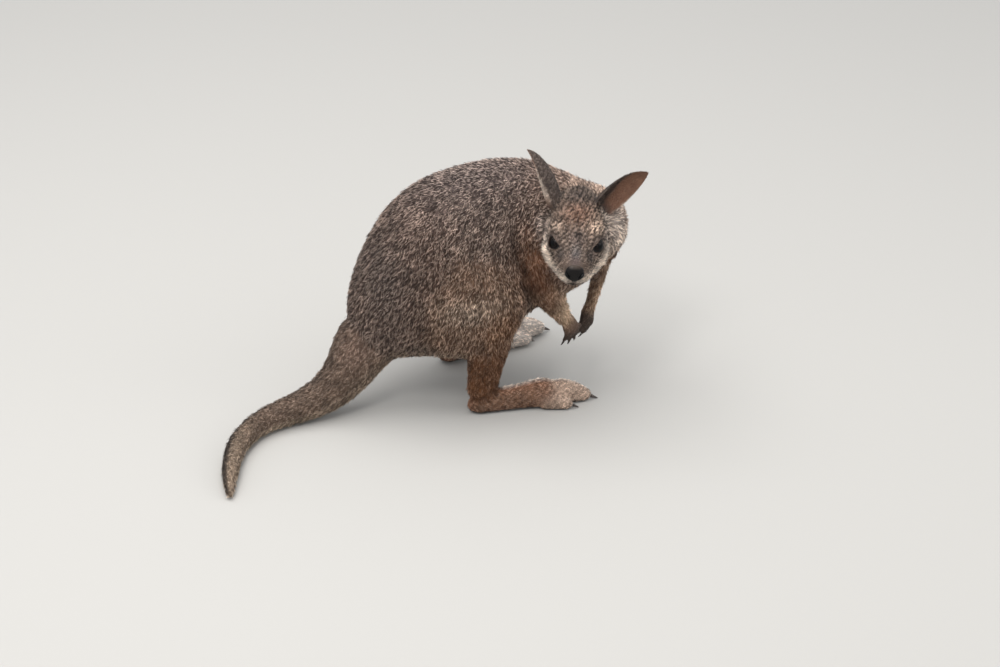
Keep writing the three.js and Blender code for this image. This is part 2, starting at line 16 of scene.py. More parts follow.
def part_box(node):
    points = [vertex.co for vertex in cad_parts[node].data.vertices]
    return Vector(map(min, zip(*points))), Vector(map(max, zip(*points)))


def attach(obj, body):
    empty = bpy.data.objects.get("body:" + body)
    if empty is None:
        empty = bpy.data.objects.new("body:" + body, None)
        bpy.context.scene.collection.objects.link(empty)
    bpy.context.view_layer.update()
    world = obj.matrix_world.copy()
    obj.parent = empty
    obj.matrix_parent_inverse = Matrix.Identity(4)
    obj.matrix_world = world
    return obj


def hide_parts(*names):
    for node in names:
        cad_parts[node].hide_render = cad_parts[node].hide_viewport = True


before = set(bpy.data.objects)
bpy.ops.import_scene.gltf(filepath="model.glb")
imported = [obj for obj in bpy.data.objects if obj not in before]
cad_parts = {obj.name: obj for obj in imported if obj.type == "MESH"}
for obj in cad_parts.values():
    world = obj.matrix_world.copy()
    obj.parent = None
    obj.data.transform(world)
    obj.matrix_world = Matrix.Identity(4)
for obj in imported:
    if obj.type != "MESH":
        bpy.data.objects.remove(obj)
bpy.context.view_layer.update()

bl_info = {
    "name": "Tammar wallaby",
    "version": (1, 0, 0),
    "blender": (4, 5, 0),
    "location": "View3D > Sidebar > Wallaby",
    "description": "Skin, coat, eyes, nose, claws and whiskers of a standing wallaby",
    "category": "Object",
}

MM = 0.001
BODY = "root"
SIDES = {"right": -1, "left": 1}


def tone(code):
    """A colour written as in a paint chart, as linear light."""
    parts = [((code >> s) & 255) / 255 for s in (16, 8, 0)]
    return tuple(c / 12.92 if c <= 0.04045 else ((c + 0.055) / 1.055) ** 2.4 for c in parts)


# ------------------------------------------------------------------ the animal's own frames
# Places on the body are written in mm from a point on the floor between the heels; SHIFT
# takes them to the frame. The head has a frame of its own: its origin midway between the
# eyes, +X to the nose, +Y to the animal's left, +Z up.
HEAD_AXES = Euler(tuple(map(math.radians, (-3.6, 0, -113))), "XYZ").to_matrix()
EYE_IN_HEAD = (1.6, 19.8, 0.6)
EYE_RADIUS = 9.0
HEAD_FROM_HEELS = (87, -110, 217)


def node_centre(name):
    low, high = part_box(name)
    return (low + high) / 2


HEAD_ORIGIN = (node_centre("eye_right") + node_centre("eye_left")) / 2
HEAD_ORIGIN -= HEAD_AXES @ Vector((EYE_IN_HEAD[0], 0, EYE_IN_HEAD[2])) * MM
SHIFT = HEAD_ORIGIN - Vector(HEAD_FROM_HEELS) * MM


def in_head(points):
    """Points of the frame in the head's own frame, in mm."""
    return (points - np.array(HEAD_ORIGIN)) @ np.array(HEAD_AXES) / MM


def from_head(points):
    return np.asarray(points) @ np.array(HEAD_AXES).T * MM + np.array(HEAD_ORIGIN)


def from_heels(points):
    return np.asarray(points, float) * MM + np.array(SHIFT)


# ------------------------------------------------------------------ sizes and colours to change
class WallabySkin(bpy.types.PropertyGroup):
    grain: FloatProperty(
        name="Grain",
        description="Voxel at which the sub-parts are merged",
        default=1.0 * MM,
        min=0.6 * MM,
        max=3 * MM,
        precision=5,
        unit="LENGTH",
    )
    swell: FloatProperty(
        name="Swell",
        description="How far sub-parts swell to close the gaps between them",
        default=0.8 * MM,
        precision=5,
        unit="LENGTH",
    )
    faces: IntProperty(
        name="Triangles", description="Triangles left in the skin", default=125000, max=160000
    )


class WallabyCoat(bpy.types.PropertyGroup):
    seed: IntProperty(name="Seed", description="Seed of the coat's chance", default=7)
    thickness: FloatProperty(
        name="Thickness",
        description="Share of the usual number of tufts",
        default=1.0,
        min=0.05,
        max=1.0,
        subtype="FACTOR",
    )
    length: FloatProperty(
        name="Length",
        description="Share of the usual length of a tuft",
        default=1.0,
        min=0.3,
        max=1.3,
        subtype="FACTOR",
    )


class WallabyFace(bpy.types.PropertyGroup):
    iris: FloatVectorProperty(
        name="Iris", description="Colour of the iris", subtype="COLOR", default=tone(0x120C09)
    )
    nose: FloatVectorProperty(
        name="Nose", description="Colour of the nose pad", subtype="COLOR", default=tone(0x0F0C0B)
    )
    claw: FloatVectorProperty(
        name="Claws", description="Colour of the claws", subtype="COLOR", default=tone(0x2A221E)
    )


class WallabyStage(bpy.types.PropertyGroup):
    lens: FloatProperty(
        name="Lens", description="Focal length of the camera", default=99.36, unit="CAMERA"
    )
    floor: FloatVectorProperty(
        name="Floor", description="Colour of the floor", subtype="COLOR", default=tone(0xA9A6A1)
    )
    daylight: FloatProperty(
        name="Daylight", description="Strength of the light from all round", default=1.02
    )


# ------------------------------------------------------------------ arrays and meshes
def unit(v):
    return v / np.maximum(np.linalg.norm(v, axis=-1, keepdims=True), 1e-12)


def ease(low, high, x):
    """0 below low, 1 above high, and a smooth step between."""
    t = np.clip((x - low) / (high - low), 0, 1)
    return t * t * (3 - 2 * t)


def bell(distance, width):
    return np.exp(-((distance / width) ** 2))


def off_line(points, line):
    """Each point's distance from a line through several points."""
    line = np.asarray(line, float)
    best = np.full(len(points), np.inf)
    for a, b in zip(line[:-1], line[1:]):
        t = np.clip((points - a) @ (b - a) / ((b - a) @ (b - a)), 0, 1)
        best = np.minimum(best, np.linalg.norm(points - a - t[:, None] * (b - a), axis=1))
    return best


def tree_of(mesh):
    return BVHTree.FromPolygons([v.co.copy() for v in mesh.vertices], triangles_of(mesh).tolist())


def laid_on(mesh, line):
    """A line of places of the frame, divided finely and moved onto the surface of a mesh."""
    tree = tree_of(mesh)
    out = []
    for a, b in zip(line[:-1], line[1:]):
        for t in np.linspace(0, 1, 8, endpoint=False):
            out.append(np.array(tree.find_nearest(Vector(a + (b - a) * t))[0]))
    return np.array(out + [np.array(tree.find_nearest(Vector(line[-1]))[0])])


def line_gap(mesh, points, line):
    """Each point's distance in mm from a line that is laid on a mesh."""
    return off_line(points, laid_on(mesh, line)) / MM


def mirrored(point, side):
    """A place of the head's frame, written for the left side, on either side."""
    return np.array((point[0], point[1] * side, point[2]), float)


def head_line(line, side):
    """A line of the head's frame, written for the left side, as places of the frame."""
    return from_head([mirrored(p, side) for p in line])


def points_of(mesh):
    out = np.empty(len(mesh.vertices) * 3, np.float32)
    mesh.vertices.foreach_get("co", out)
    return out.reshape(-1, 3).astype(float)


def normals_of(mesh):
    out = np.empty(len(mesh.vertices) * 3, np.float32)
    mesh.vertex_normals.foreach_get("vector", out)
    return out.reshape(-1, 3).astype(float)


def move_to(mesh, points):
    mesh.vertices.foreach_set("co", points.astype(np.float32).ravel())
    mesh.update()


def shade_smooth(mesh):
    mesh.polygons.foreach_set("use_smooth", np.ones(len(mesh.polygons), bool))


def triangles_of(mesh):
    mesh.calc_loop_triangles()
    out = np.empty(len(mesh.loop_triangles) * 3, np.int32)
    mesh.loop_triangles.foreach_get("vertices", out)
    return out.reshape(-1, 3)


def hold(mesh, name, values):
    """Keeps values on the mesh's points under a name."""
    values = np.asarray(values, np.float32)
    kind, field = ("FLOAT", "value") if values.ndim == 1 else ("FLOAT_VECTOR", "vector")
    layer = mesh.attributes.get(name) or mesh.attributes.new(name, kind, "POINT")
    layer.data.foreach_set(field, values.ravel())


def held(mesh, name):
    layer = mesh.attributes[name]
    single = layer.data_type == "FLOAT"
    out = np.empty(len(layer.data) * (1 if single else 3), np.float32)
    layer.data.foreach_get("value" if single else "vector", out)
    return (out if single else out.reshape(-1, 3)).astype(float)


def as_object(name, mesh):
    ob = bpy.data.objects.new(name, mesh)
    mesh.name = name
    bpy.context.scene.collection.objects.link(ob)
    return ob


def from_bmesh(name, bm):
    mesh = bpy.data.meshes.new(name)
    bm.to_mesh(mesh)
    bm.free()
    shade_smooth(mesh)
    return as_object(name, mesh)


def applied(ob):
    """Puts the modifiers' result in the object's own mesh."""
    graph = bpy.context.evaluated_depsgraph_get()
    mesh = bpy.data.meshes.new_from_object(ob.evaluated_get(graph))
    ob.modifiers.clear()
    old, ob.data = ob.data, mesh
    bpy.data.meshes.remove(old)
    mesh.name = ob.name
    shade_smooth(mesh)
    return ob


def remeshed(ob, grain):
    modifier = ob.modifiers.new("merge", "REMESH")
    modifier.mode = "VOXEL"
    modifier.voxel_size = grain
    return applied(ob)


def settle(ob, slot, *nodes):
    """Ties a finished piece to the body and hides the nodes it stands for. The slot is not used."""
    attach(ob, BODY)
    if nodes:
        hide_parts(*nodes)


class Web:
    """Each vertex's neighbours in a mesh, for evening out what the vertices hold."""

    def __init__(self, mesh):
        edges = np.empty(len(mesh.edges) * 2, np.int32)
        mesh.edges.foreach_get("vertices", edges)
        self.a, self.b = edges.reshape(-1, 2).T
        self.size = len(mesh.vertices)
        self.count = np.maximum(np.bincount(edges, minlength=self.size), 1)

    def mean(self, values):
        rows = values.reshape(self.size, -1)
        out = np.empty_like(rows)
        for k in range(rows.shape[1]):
            column = rows[:, k]
            out[:, k] = np.bincount(self.a, column[self.b], self.size)
            out[:, k] += np.bincount(self.b, column[self.a], self.size)
        out /= self.count[:, None]
        return out.reshape(values.shape)

    def even(self, values, passes, share=None):
        """Values evened out over the mesh; share says how much each vertex takes part."""
        for _ in range(passes):
            mean = self.mean(values)
            values = mean if share is None else values + share * (mean - values)
        return values

    def islands(self):
        """A number for each vertex that all vertices joined to it share."""
        label = np.arange(self.size)
        while True:
            low = np.minimum(label[self.a], label[self.b])
            new = label.copy()
            np.minimum.at(new, self.a, low)
            np.minimum.at(new, self.b, low)
            new = new[new]
            if (new == label).all():
                return label
            label = new


# ------------------------------------------------------------------ what each sub-part wears
# depth: of the coat, in mm. soften: passes that even out the skin. length and width of a tuft
# in mm. locks and spikes: bent and straight tufts per square mm. rise: of a tuft at its root
# and tip, in degrees. grizzle: how far pale and dark tips part. hue: the coat's mean colour.
TRUNK_WEAR = dict(
    depth=3.0, soften=150, length=7.2, width=0.8, locks=0.42, spikes=0.42,
    rise=(34, 12), grizzle=1.0,
)
WEAR = {
    "rump": dict(TRUNK_WEAR, hue=0x785F53),
    "belly": dict(TRUNK_WEAR, hue=0x836D62),
    "chest": dict(TRUNK_WEAR, hue=0x937666),
    "thigh": dict(TRUNK_WEAR, hue=0x886853, grizzle=0.9),
    "neck": dict(TRUNK_WEAR, depth=2.8, soften=120, length=7.2, hue=0x9D816F, grizzle=0.9),
    "head": dict(
        depth=1.4, soften=8, length=4.8, width=0.55, locks=0.0, spikes=2.9,
        rise=(30, 17), grizzle=1.25, hue=0x745F51,
    ),
    "eye": dict(
        depth=0.2, soften=4, length=2.6, width=0.45, locks=0.0, spikes=3.1,
        rise=(24, 12), grizzle=0.5, hue=0x745F51,
    ),
    "nose": dict(
        depth=1.2, soften=6, length=1.6, width=0.4, locks=0.0, spikes=0.0,
        rise=(24, 12), grizzle=0.3, hue=0x3A3230,
    ),
    "ear": dict(
        depth=0.5, soften=3, length=3.8, width=0.42, locks=0.0, spikes=2.8,
        rise=(26, 12), grizzle=0.9, hue=0x554740,
    ),
    "tail": dict(
        depth=0.8, soften=36, length=5.8, width=0.66, locks=0.2, spikes=0.92,
        rise=(30, 10), grizzle=0.8, hue=0x7C6555,
    ),
    "shank": dict(
        depth=1.8, soften=44, length=6.0, width=0.65, locks=0.2, spikes=1.0,
        rise=(30, 10), grizzle=0.8, hue=0x7D4E2A,
    ),
    "foot": dict(
        depth=1.0, soften=14, length=3.9, width=0.5, locks=0.0, spikes=1.7,
        rise=(30, 14), grizzle=1.05, hue=0xA17257,
    ),
    "toe": dict(
        depth=0.8, soften=8, length=3.4, width=0.46, locks=0.0, spikes=1.9,
        rise=(30, 14), grizzle=0.95, hue=0xCAAD98,
    ),
    "upper": dict(
        depth=2.8, soften=60, length=8.0, width=0.75, locks=0.3, spikes=0.9,
        rise=(30, 8), grizzle=0.7, hue=0x6D452A,
    ),
    "forearm": dict(
        depth=1.7, soften=30, length=6.0, width=0.6, locks=0.25, spikes=1.3,
        rise=(28, 10), grizzle=0.75, hue=0xCDA888,
    ),
    "hand": dict(
        depth=0.1, soften=2, length=2.8, width=0.42, locks=0.0, spikes=2.4,
        rise=(24, 12), grizzle=0.8, hue=0x7B6051,
    ),
}
FIELDS = ("length", "width", "locks", "spikes", "grizzle")


def family(node):
    return node.split("_")[0].replace("toes", "toe")


CLAWS = sorted(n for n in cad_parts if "claw" in n)
FLESH = sorted(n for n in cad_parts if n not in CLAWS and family(n) not in ("eye", "nose"))
UNDER_SKIN = FLESH + ["eye_left", "eye_right", "nose"]
HEAD_PARTS = ("head", "eye", "nose")

EAR_TIPS = {"right": (-0.15, -0.54, 0.84), "left": (0.05, 0.7, 0.69)}
EAR_BASES = {"right": (-39, -18, 17), "left": (-40, 16, 17)}
EAR_HOLLOWS = {"right": (-0.25, -0.95, 0.0), "left": (0.88, 0.42, 0.05)}
EAR_LENGTH, EAR_WIDTH = 76, 31
# Along the ear: share of its length, share of its width.
EAR_TABLE = np.array([
    (0, 0.56), (0.12, 0.78), (0.28, 0.94), (0.45, 1.0), (0.62, 0.96),
    (0.78, 0.78), (0.9, 0.5), (0.97, 0.26), (1, 0.1),
])
FOOT_SPLAY = 9  # degrees out from straight ahead

# The way the coat lies on each sub-part or family of them; the rest lies straight back.
LIES = {
    "rump": (-0.45, 0, -0.9),
    "belly": (-0.72, 0, -0.66),
    "chest": (-0.78, 0.05, -0.6),
    "thigh": (-0.3, 0, -0.95),
    "neck": (-0.3, 0.75, -0.55),
    "shank": (0.05, 0, -1),
    "tail_1": (-0.6, 0, -0.8),
    "tail_2": (-0.93, -0.02, -0.35),
    "tail_3": (-0.97, -0.2, -0.06),
    "tail_4": (-0.6, -0.8, 0),
    "tail_5": (-0.35, -0.93, -0.1),
    "upper_arm_right": (0.08, -0.12, -1),
    "upper_arm_left": (0.15, 0, -1),
    "forearm_right": (0.45, 0.1, -0.88),
    "forearm_left": (-0.2, 0, -0.98),
    "hand_right": (17, 5, -38),
    "hand_left": (-5, -1, -34),
}


def lie_of(node):
    """The way the coat lies on a sub-part, in the frame."""
    side = node.split("_")[-1]
    if family(node) in ("foot", "toe"):
        turn = math.radians(FOOT_SPLAY) * SIDES[side]
        way = (math.cos(turn), math.sin(turn), -0.12)
    elif family(node) == "ear":
        way = HEAD_AXES @ Vector(EAR_TIPS[side])
    else:
        way = LIES.get(node) or LIES.get(family(node)) or (-1, 0, 0)
    return np.array(Vector(way).normalized())


def nearest_nodes(points):
    """The number in UNDER_SKIN of the sub-part nearest to each point."""
    corners, faces, owner = [], [], []
    for k, name in enumerate(UNDER_SKIN):
        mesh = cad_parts[name].data
        start = len(corners)
        corners += [v.co.copy() for v in mesh.vertices]
        for p in mesh.polygons:
            faces.append([start + i for i in p.vertices])
            owner.append(k)
    tree = BVHTree.FromPolygons(corners, faces)
    found = [tree.find_nearest(Vector(p))[2] for p in points.tolist()]
    return np.array(owner)[np.array(found)]


def by_node(which, value):
    """value(node) for each vertex, by its nearest sub-part."""
    return np.array([value(n) for n in UNDER_SKIN], float)[which]


def worn(which, key):
    return by_node(which, lambda n: WEAR[family(n)][key])


# ------------------------------------------------------------------ skin
# Counts of passes at which the sub-parts that are even enough drop out.
SOFTEN_STOPS = (4, 8, 16, 32, 64, 110, 160)


def merged_flesh(swell):
    bm = bmesh.new()
    for name in UNDER_SKIN:
        bm.from_mesh(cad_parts[name].data)
    bmesh.ops.remove_doubles(bm, verts=bm.verts, dist=1e-6)
    bm.normal_update()
    for v in bm.verts:
        v.co += v.normal * swell
    return from_bmesh("skin", bm)


def keep_largest(mesh):
    """Leaves out the small hollows that a merge closes inside the flesh."""
    label = Web(mesh).islands()
    names, counts = np.unique(label, return_counts=True)
    lost = np.flatnonzero(label != names[counts.argmax()])
    if len(lost):
        bm = bmesh.new()
        bm.from_mesh(mesh)
        bm.verts.ensure_lookup_table()
        bmesh.ops.delete(bm, geom=[bm.verts[i] for i in lost], context="VERTS")
        bm.to_mesh(mesh)
        bm.free()


def let_in(mesh, swell):
    """Evens out the merged flesh and moves it in by the depth of the coat."""
    web = Web(mesh)
    points = points_of(mesh)
    which = nearest_nodes(points)
    passes = web.even(worn(which, "soften"), 12)
    depth = web.even(worn(which, "depth"), 30) * MM
    done = 0
    for stop in SOFTEN_STOPS:
        share = np.clip((passes - done) / (stop - done), 0, 1)[:, None]
        points = web.even(points, stop - done, share)
        done = stop
    move_to(mesh, points)
    points = points - normals_of(mesh) * (depth + swell)[:, None]
    move_to(mesh, web.even(points, 3))


def refine(mesh, spots, passes=2):
    """Divides the mesh finer inside each (centre, reach), in metres."""
    bm = bmesh.new()
    bm.from_mesh(mesh)
    for k in range(passes):
        near = set()
        for centre, reach in spots:
            centre = Vector(centre)
            limit = (reach * (1 - 0.12 * k)) ** 2
            near.update(v for v in bm.verts if (v.co - centre).length_squared < limit)
        edges = [e for e in bm.edges if e.verts[0] in near and e.verts[1] in near]
        bmesh.ops.subdivide_edges(bm, edges=edges, cuts=1, use_grid_fill=False)
    bmesh.ops.triangulate(bm, faces=[f for f in bm.faces if len(f.verts) > 3])
    bm.to_mesh(mesh)
    bm.free()


# The opening of the eye, written for the left side: the way it faces, and its long axis from
# the outer corner above to the inner one below. The rim goes round the eye's centre: angle
# from the inner corner towards the upper lid, in degrees, and distance in mm.
EYE_FACES = (0.72, 0.66, 0.2)
EYE_LONG = (0.62, -0.71, -0.35)
OPENING = np.array([
    (-150, 5.8), (-120, 4.8), (-90, 4.5), (-60, 4.7), (-38, 5.3), (-15, 6.6), (5, 7.6), (18, 7.8),
    (34, 6.3), (50, 5.2), (80, 4.4), (110, 5.0), (135, 6.6), (155, 8.0), (168, 8.0), (188, 6.9),
])
LID_RISE = 0.9  # how far the lids stand over the eyeball, in mm


def opening_at(angle):
    return np.interp(angle, OPENING[:, 0], OPENING[:, 1], period=360)


def eye_axes(side):
    out = unit(mirrored(EYE_FACES, side))
    along = mirrored(EYE_LONG, side)
    along = unit(along - out * (along @ out))
    above = np.cross(out, along)
    return along, above * np.sign(above[2]), out


def lid_distance(face, side):
    """Distance in mm from the rim of the eye's opening, below 0 inside it, for points of the
    head's frame; also the distance from the eyeball's centre and the height over it."""
    along, above, out = eye_axes(side)
    rel = face - mirrored(EYE_IN_HEAD, side)
    a, b, c = rel @ along, rel @ above, rel @ out
    gap = np.hypot(a, b) - opening_at(np.degrees(np.arctan2(b, a)))
    gap = np.where(c < -1, 30, gap)
    return gap, np.linalg.norm(rel, axis=1), b


# The mouth, from the middle of the lips to its corner, for the left side.
MOUTH = (
    (35, 0, -30), (34, 6, -30.2), (30, 11.5, -30), (25, 14.5, -29.4), (18, 17.5, -28.6),
    (10, 21, -27), (4, 24, -25),
)
PHILTRUM = ((40, 0, -21), (38, 0, -25), (35, 0, -30))
# The folds behind the shoulders, right and left, from the heels. They are pressed into the skin and
# darkened with painted shade.
FOLDS = (
    (
        (39, -56, 214), (40.5, -63, 207), (42, -65.5, 190), (44.5, -67.5, 172), (48, -67, 153),
        (55, -62, 131),
    ),
    ((84, 62, 190), (88, 60, 165), (96, 52, 140)),
)


def work_face(mesh):
    """Lids, mouth, lips and folds, worked into the skin."""
    spots = [(from_head(mirrored(EYE_IN_HEAD, s)), 15.5 * MM) for s in SIDES.values()]
    spots.append((from_head((38, 0, -24)), 15 * MM))
    refine(mesh, spots)
    web = Web(mesh)
    points = points_of(mesh)
    fine = sum(ease(17 * MM, 13 * MM, np.linalg.norm(points - c, axis=1)) for c, _ in spots)
    points = web.even(points, 4, np.clip(fine, 0, 1)[:, None])
    move_to(mesh, points)
    normals = normals_of(mesh)
    push = np.zeros(len(points))
    for side in SIDES.values():
        line = line_gap(mesh, points, head_line(MOUTH, side))
        push -= 1.5 * bell(line, 0.9)
        push += 0.5 * bell(line - 2.4, 1.3)
    push -= 0.8 * bell(line_gap(mesh, points, from_head(PHILTRUM)), 0.8)
    for fold in FOLDS:
        push -= 4.6 * bell(line_gap(mesh, points, from_heels(fold)), 4.2)
    points = points + normals * push[:, None] * MM
    for side in SIDES.values():
        face = in_head(points)
        centre = mirrored(EYE_IN_HEAD, side)
        gap, reach, above = lid_distance(face, side)
        way = unit(face - centre)
        lid = EYE_RADIUS + LID_RISE
        inside = EYE_RADIUS - 1.5
        crease = 0.5 * bell(gap - 3.6, 0.8) * ease(0, 3, above)
        rise = inside + (lid - inside) * ease(-1.0, 0.25, gap)
        blend = ease(1.3, 6.0, gap)
        rise = rise * (1 - blend) + reach * blend - crease
        near = (reach < 17) & (gap < 6)
        face[near] = centre + way[near] * rise[near][:, None]
        points = from_head(face)
    move_to(mesh, points)


def build_skin(settings):
    ob = remeshed(merged_flesh(settings.swell), settings.grain)
    keep_largest(ob.data)
    let_in(ob.data, settings.swell)
    thin = ob.modifiers.new("thin", "DECIMATE")
    thin.ratio = settings.faces / (2 * len(ob.data.polygons))
    applied(ob)
    work_face(ob.data)
    shade_smooth(ob.data)
    dress(ob.data)
    return ob


# ------------------------------------------------------------------ markings
# On the head, in its frame, written for the left side: the sides it is on, centre and reach
# in mm, and colour. "one" is a patch across the middle.
HEAD_PATCHES = (
    ("temple", "both", (-22, 33, -4), (18, 10, 15), 0xAE9F97),
    ("throat", "both", (-12, 18, -36), (26, 18, 10), 0xC4B6A6),
    ("forehead", "one", (-12, 0, 30), (18, 20, 15), 0x79503A),
    ("crown", "one", (-38, 0, 39), (14, 14, 14), 0x493A35),
    ("between the eyes", "one", (9, 0, 11), (12, 11, 10), 0x69564E),
    ("bridge", "one", (27, 0, 2), (13, 6, 8), 0x645E5E),
    ("before the eye", "both", (22, 15.5, -3), (9, 6, 8), 0x4E423D),
    ("muzzle", "one", (34, 0, -3), (6, 5, 4), 0x6E5A54),
    ("brow, right", "right", (-3, 22, 16.5), (8, 6, 5.5), 0x9D8472),
    ("brow, left", "left", (-4, 21, 17.5), (11, 9, 6.5), 0xC8AA93),
    ("lips", "one", (37, 0, -27), (6, 8, 4), 0x9A8C84),
    ("chin", "one", (32, 0, -36), (14, 10, 5), 0x75665F),
    ("behind the ear", "left", (-37, 33, 17), (9, 9, 10), 0xDFD3C9),
)
# The pale stripe from below the eye round to the lips.
STRIPE = ((-6, 31.5, -10), (5.5, 28.5, -16.5), (14, 24, -21.5), (30, 16.5, -23), (35, 10, -25))
STRIPE_HUE, LIP_HUE, LID_HUE, LID_RING_HUE = 0xE0D1C1, 0xD8CCC0, 0x110D0C, 0x5A4A42
EAR_INSIDE, EAR_RIM, EAR_DARK = 0x926953, 0xD2C3B3, 0x453A34
# Where the shade inside an ear ends: shares of its length, and of its half width at each.
EAR_SHADE = ((0.15, 0.45, 0.7, 0.9), (0.15, -0.15, -0.55, -1.1))

# On the body, from the heels: centre and reach in mm, and colour.
NECK_SIDE, NECK_CALM_REACH = (140, -96, 214), (28, 28, 34)
FOREARM_LIT = ((98, -62, 107), (9, 13, 18))
BODY_PATCHES = (
    ("upper arm", (74, -66, 124), (15, 15, 17), 0x6F4327),
    ("far upper arm", (150, -16, 124), (18, 18, 22), 0x7A5A44),
    ("lit side of the forearm", *FOREARM_LIT, 0xF2D2AE),
    ("back", (10, 0, 285), (130, 60, 60), 0x7F6F6B),
    ("hip", (-100, -35, 170), (26, 40, 60), 0x6B5B54),
    ("far hip", (-100, 35, 170), (26, 40, 60), 0x6B5B54),
    ("low flank", (-15, -88, 143), (46, 22, 15), 0xAB9481),
    ("far low flank", (-15, 88, 143), (46, 22, 15), 0xAB9481),
    ("shoulder", (60, -68, 185), (24, 24, 36), 0x9A694B),
    ("elbow", (62, -72, 150), (20, 18, 22), 0x744628),
    ("far shoulder", (140, 10, 150), (30, 40, 36), 0x86654F),
    ("side of the neck", NECK_SIDE, (24, 24, 32), 0xD8CBC1),
    ("cheek ruff", (71, -60, 216), (9, 12, 20), 0xA49892),
    ("front of the thigh", (20, -86, 110), (26, 22, 34), 0x92633F),
    ("front of the far thigh", (20, 86, 110), (26, 22, 34), 0x92633F),
    ("root of the tail", (-100, 0, 100), (30, 40, 30), 0x857269),
    ("groin", (-62, -50, 88), (22, 22, 14), 0x5F5148),
    ("far groin", (-62, 50, 88), (22, 22, 14), 0x5F5148),
    ("knee", (48, -62, 96), (16, 14, 16), 0xB29A80),
    ("far knee", (48, 62, 96), (16, 14, 16), 0xB29A80),
)
# Where tufts are longer, in the head's frame: centre and reach in mm, beside the left ear and
# on the left cheek. The face's coat lies away from a place ahead of the nose.
EAR_TUFT = ((-41, 9, 37), (12, 9, 11))
CHEEK, CHEEK_REACH = (4, 29, -18), (15, 8, 9)
NOSE_AHEAD = (50, 0, -14)
# The second colour here is painted shade, for the side of a forearm turned from the light.
UNDERSIDE_HUE, FOREARM_SHADE_HUE, FINGER_HUE = 0x917B67, 0x8A6850, 0x3E332D
TAIL_ROOT, TAIL_ROOT_HUE = ((-120, -20, 85), (26, 30, 24)), 0x937666
TAIL_UNDER_HUE, TAIL_END_HUE, TAIL_CREST_HUE = 0xC2AC92, 0xA8937C, 0x3A2E27
FOOT_OUTER_HUE, FOOT_INNER_HUE, SOLE_HUE = 0x7A5A44, 0xE6DAD0, 0x3A302B
# The way that the lit side of a forearm faces, with the painted shade on the side turned away from it,
# and the way that the tail's dark crest faces.
FOREARM_LIT_WAY, TAIL_CREST = (0.9, -0.3, 0.3), (-0.8, 0.35, 0.5)


def ear_place(face, side):
    """For points of the head's frame: their share of the ear's length and of the half width
    across it; also the way the ear's hollow faces."""
    along = unit(np.array(EAR_TIPS[side], float))
    facing = np.array(EAR_HOLLOWS[side], float)
    facing = unit(facing - along * (facing @ along))
    rel = face - np.array(EAR_BASES[side], float)
    share = rel @ along / EAR_LENGTH
    width = np.interp(share, EAR_TABLE[:, 0], EAR_TABLE[:, 1]) * EAR_WIDTH / 2
    across = rel @ np.cross(along, facing) / np.maximum(width, 1e-6)
    return share, across, facing


def blob(points, centre, reach):
    off = (points - np.array(centre)) / np.array(reach)
    return np.exp(-((off**2).sum(1) ** 1.1))


class Hide:
    """The skin's points and the coat's mean colour at each of them, as linear light. face and
    ground are the points in mm, in the head's frame and from the heels."""

    def __init__(self, mesh):
        self.mesh, self.web = mesh, Web(mesh)
        self.points, self.normals = points_of(mesh), normals_of(mesh)
        self.which = nearest_nodes(self.points)
        self.face = in_head(self.points)
        self.ground = (self.points - np.array(SHIFT)) / MM
        hues = np.array([tone(WEAR[family(n)]["hue"]) for n in UNDER_SKIN])
        self.colour = self.web.even(hues[self.which], 25)

    def paint(self, code, amount):
        amount = np.clip(amount, 0, 1)[:, None]
        self.colour = self.colour * (1 - amount) + np.array(tone(code)) * amount

    def part(self, passes, *families):
        """1 on some families of sub-parts and 0 off them, evened out at their edges."""
        return self.web.even(by_node(self.which, lambda n: family(n) in families), passes)

    def gap(self, line):
        return line_gap(self.mesh, self.points, line)


def mark_body(hide, trunk, arm):
    """Patches of the trunk and the arms, the underside, and painted shade in the folds."""
    for _, centre, reach, code in BODY_PATCHES:
        hide.paint(code, 0.85 * blob(hide.ground, centre, reach) * (trunk + arm))
    hide.paint(UNDERSIDE_HUE, 0.8 * trunk * ease(0.35, 0.9, -hide.normals[:, 2]))
    fold = np.zeros(len(hide.points))
    for line in FOLDS:
        fold = np.maximum(fold, bell(hide.gap(from_heels(line)), 3.6))
    # painted shade: the colour darkens along the folds behind the shoulders
    hide.colour = hide.colour * (1 - 0.6 * fold)[:, None]
    hold(hide.mesh, "fold", fold)


def mark_limbs(hide):
    """Painted shade on the side of each forearm turned from the light, the fingers and the tail."""
    ground, normals = hide.ground, hide.normals
    forearm = hide.part(10, "forearm")
    # painted shade on the side of each forearm that faces away from the light
    back = ease(0.35, -0.5, normals @ unit(np.array(FOREARM_LIT_WAY)))
    hide.paint(FOREARM_SHADE_HUE, 0.7 * forearm * back)
    hand = hide.part(3, "hand")
    hide.paint(FINGER_HUE, 0.75 * hand * ease(86, 66, ground[:, 2]))
    tail = hide.part(12, "tail")
    end = ease(-150, -260, ground[:, 0])
    crest = ease(0.55, 0.95, normals @ unit(np.array(TAIL_CREST)))
    hide.paint(TAIL_ROOT_HUE, tail * blob(ground, *TAIL_ROOT))
    hide.paint(TAIL_UNDER_HUE, tail * (0.3 + 0.6 * end) * ease(-0.15, 0.6, -normals[:, 2]))
    hide.paint(TAIL_END_HUE, tail * 0.6 * ease(-225, -290, ground[:, 0]))
    hide.paint(TAIL_CREST_HUE, tail * (0.25 + 0.7 * end) * crest)


def mark_feet(hide):
    """The feet: brown outside, pale inside and on top, dark below. Returns how pale."""
    ground = hide.ground
    foot = hide.part(6, "foot", "toe")
    inner = -hide.normals[:, 1] * np.sign(ground[:, 1])
    hide.paint(FOOT_OUTER_HUE, foot * 0.7 * ease(0.4, 0.9, -inner) * ease(90, 40, ground[:, 0]))
    pale = foot * ease(-0.3, 0.5, inner) * ease(0, 30, ground[:, 0])
    hide.paint(FOOT_INNER_HUE, pale)
    hide.paint(SOLE_HUE, foot * ease(0.5, 0.9, -hide.normals[:, 2]))
    return pale


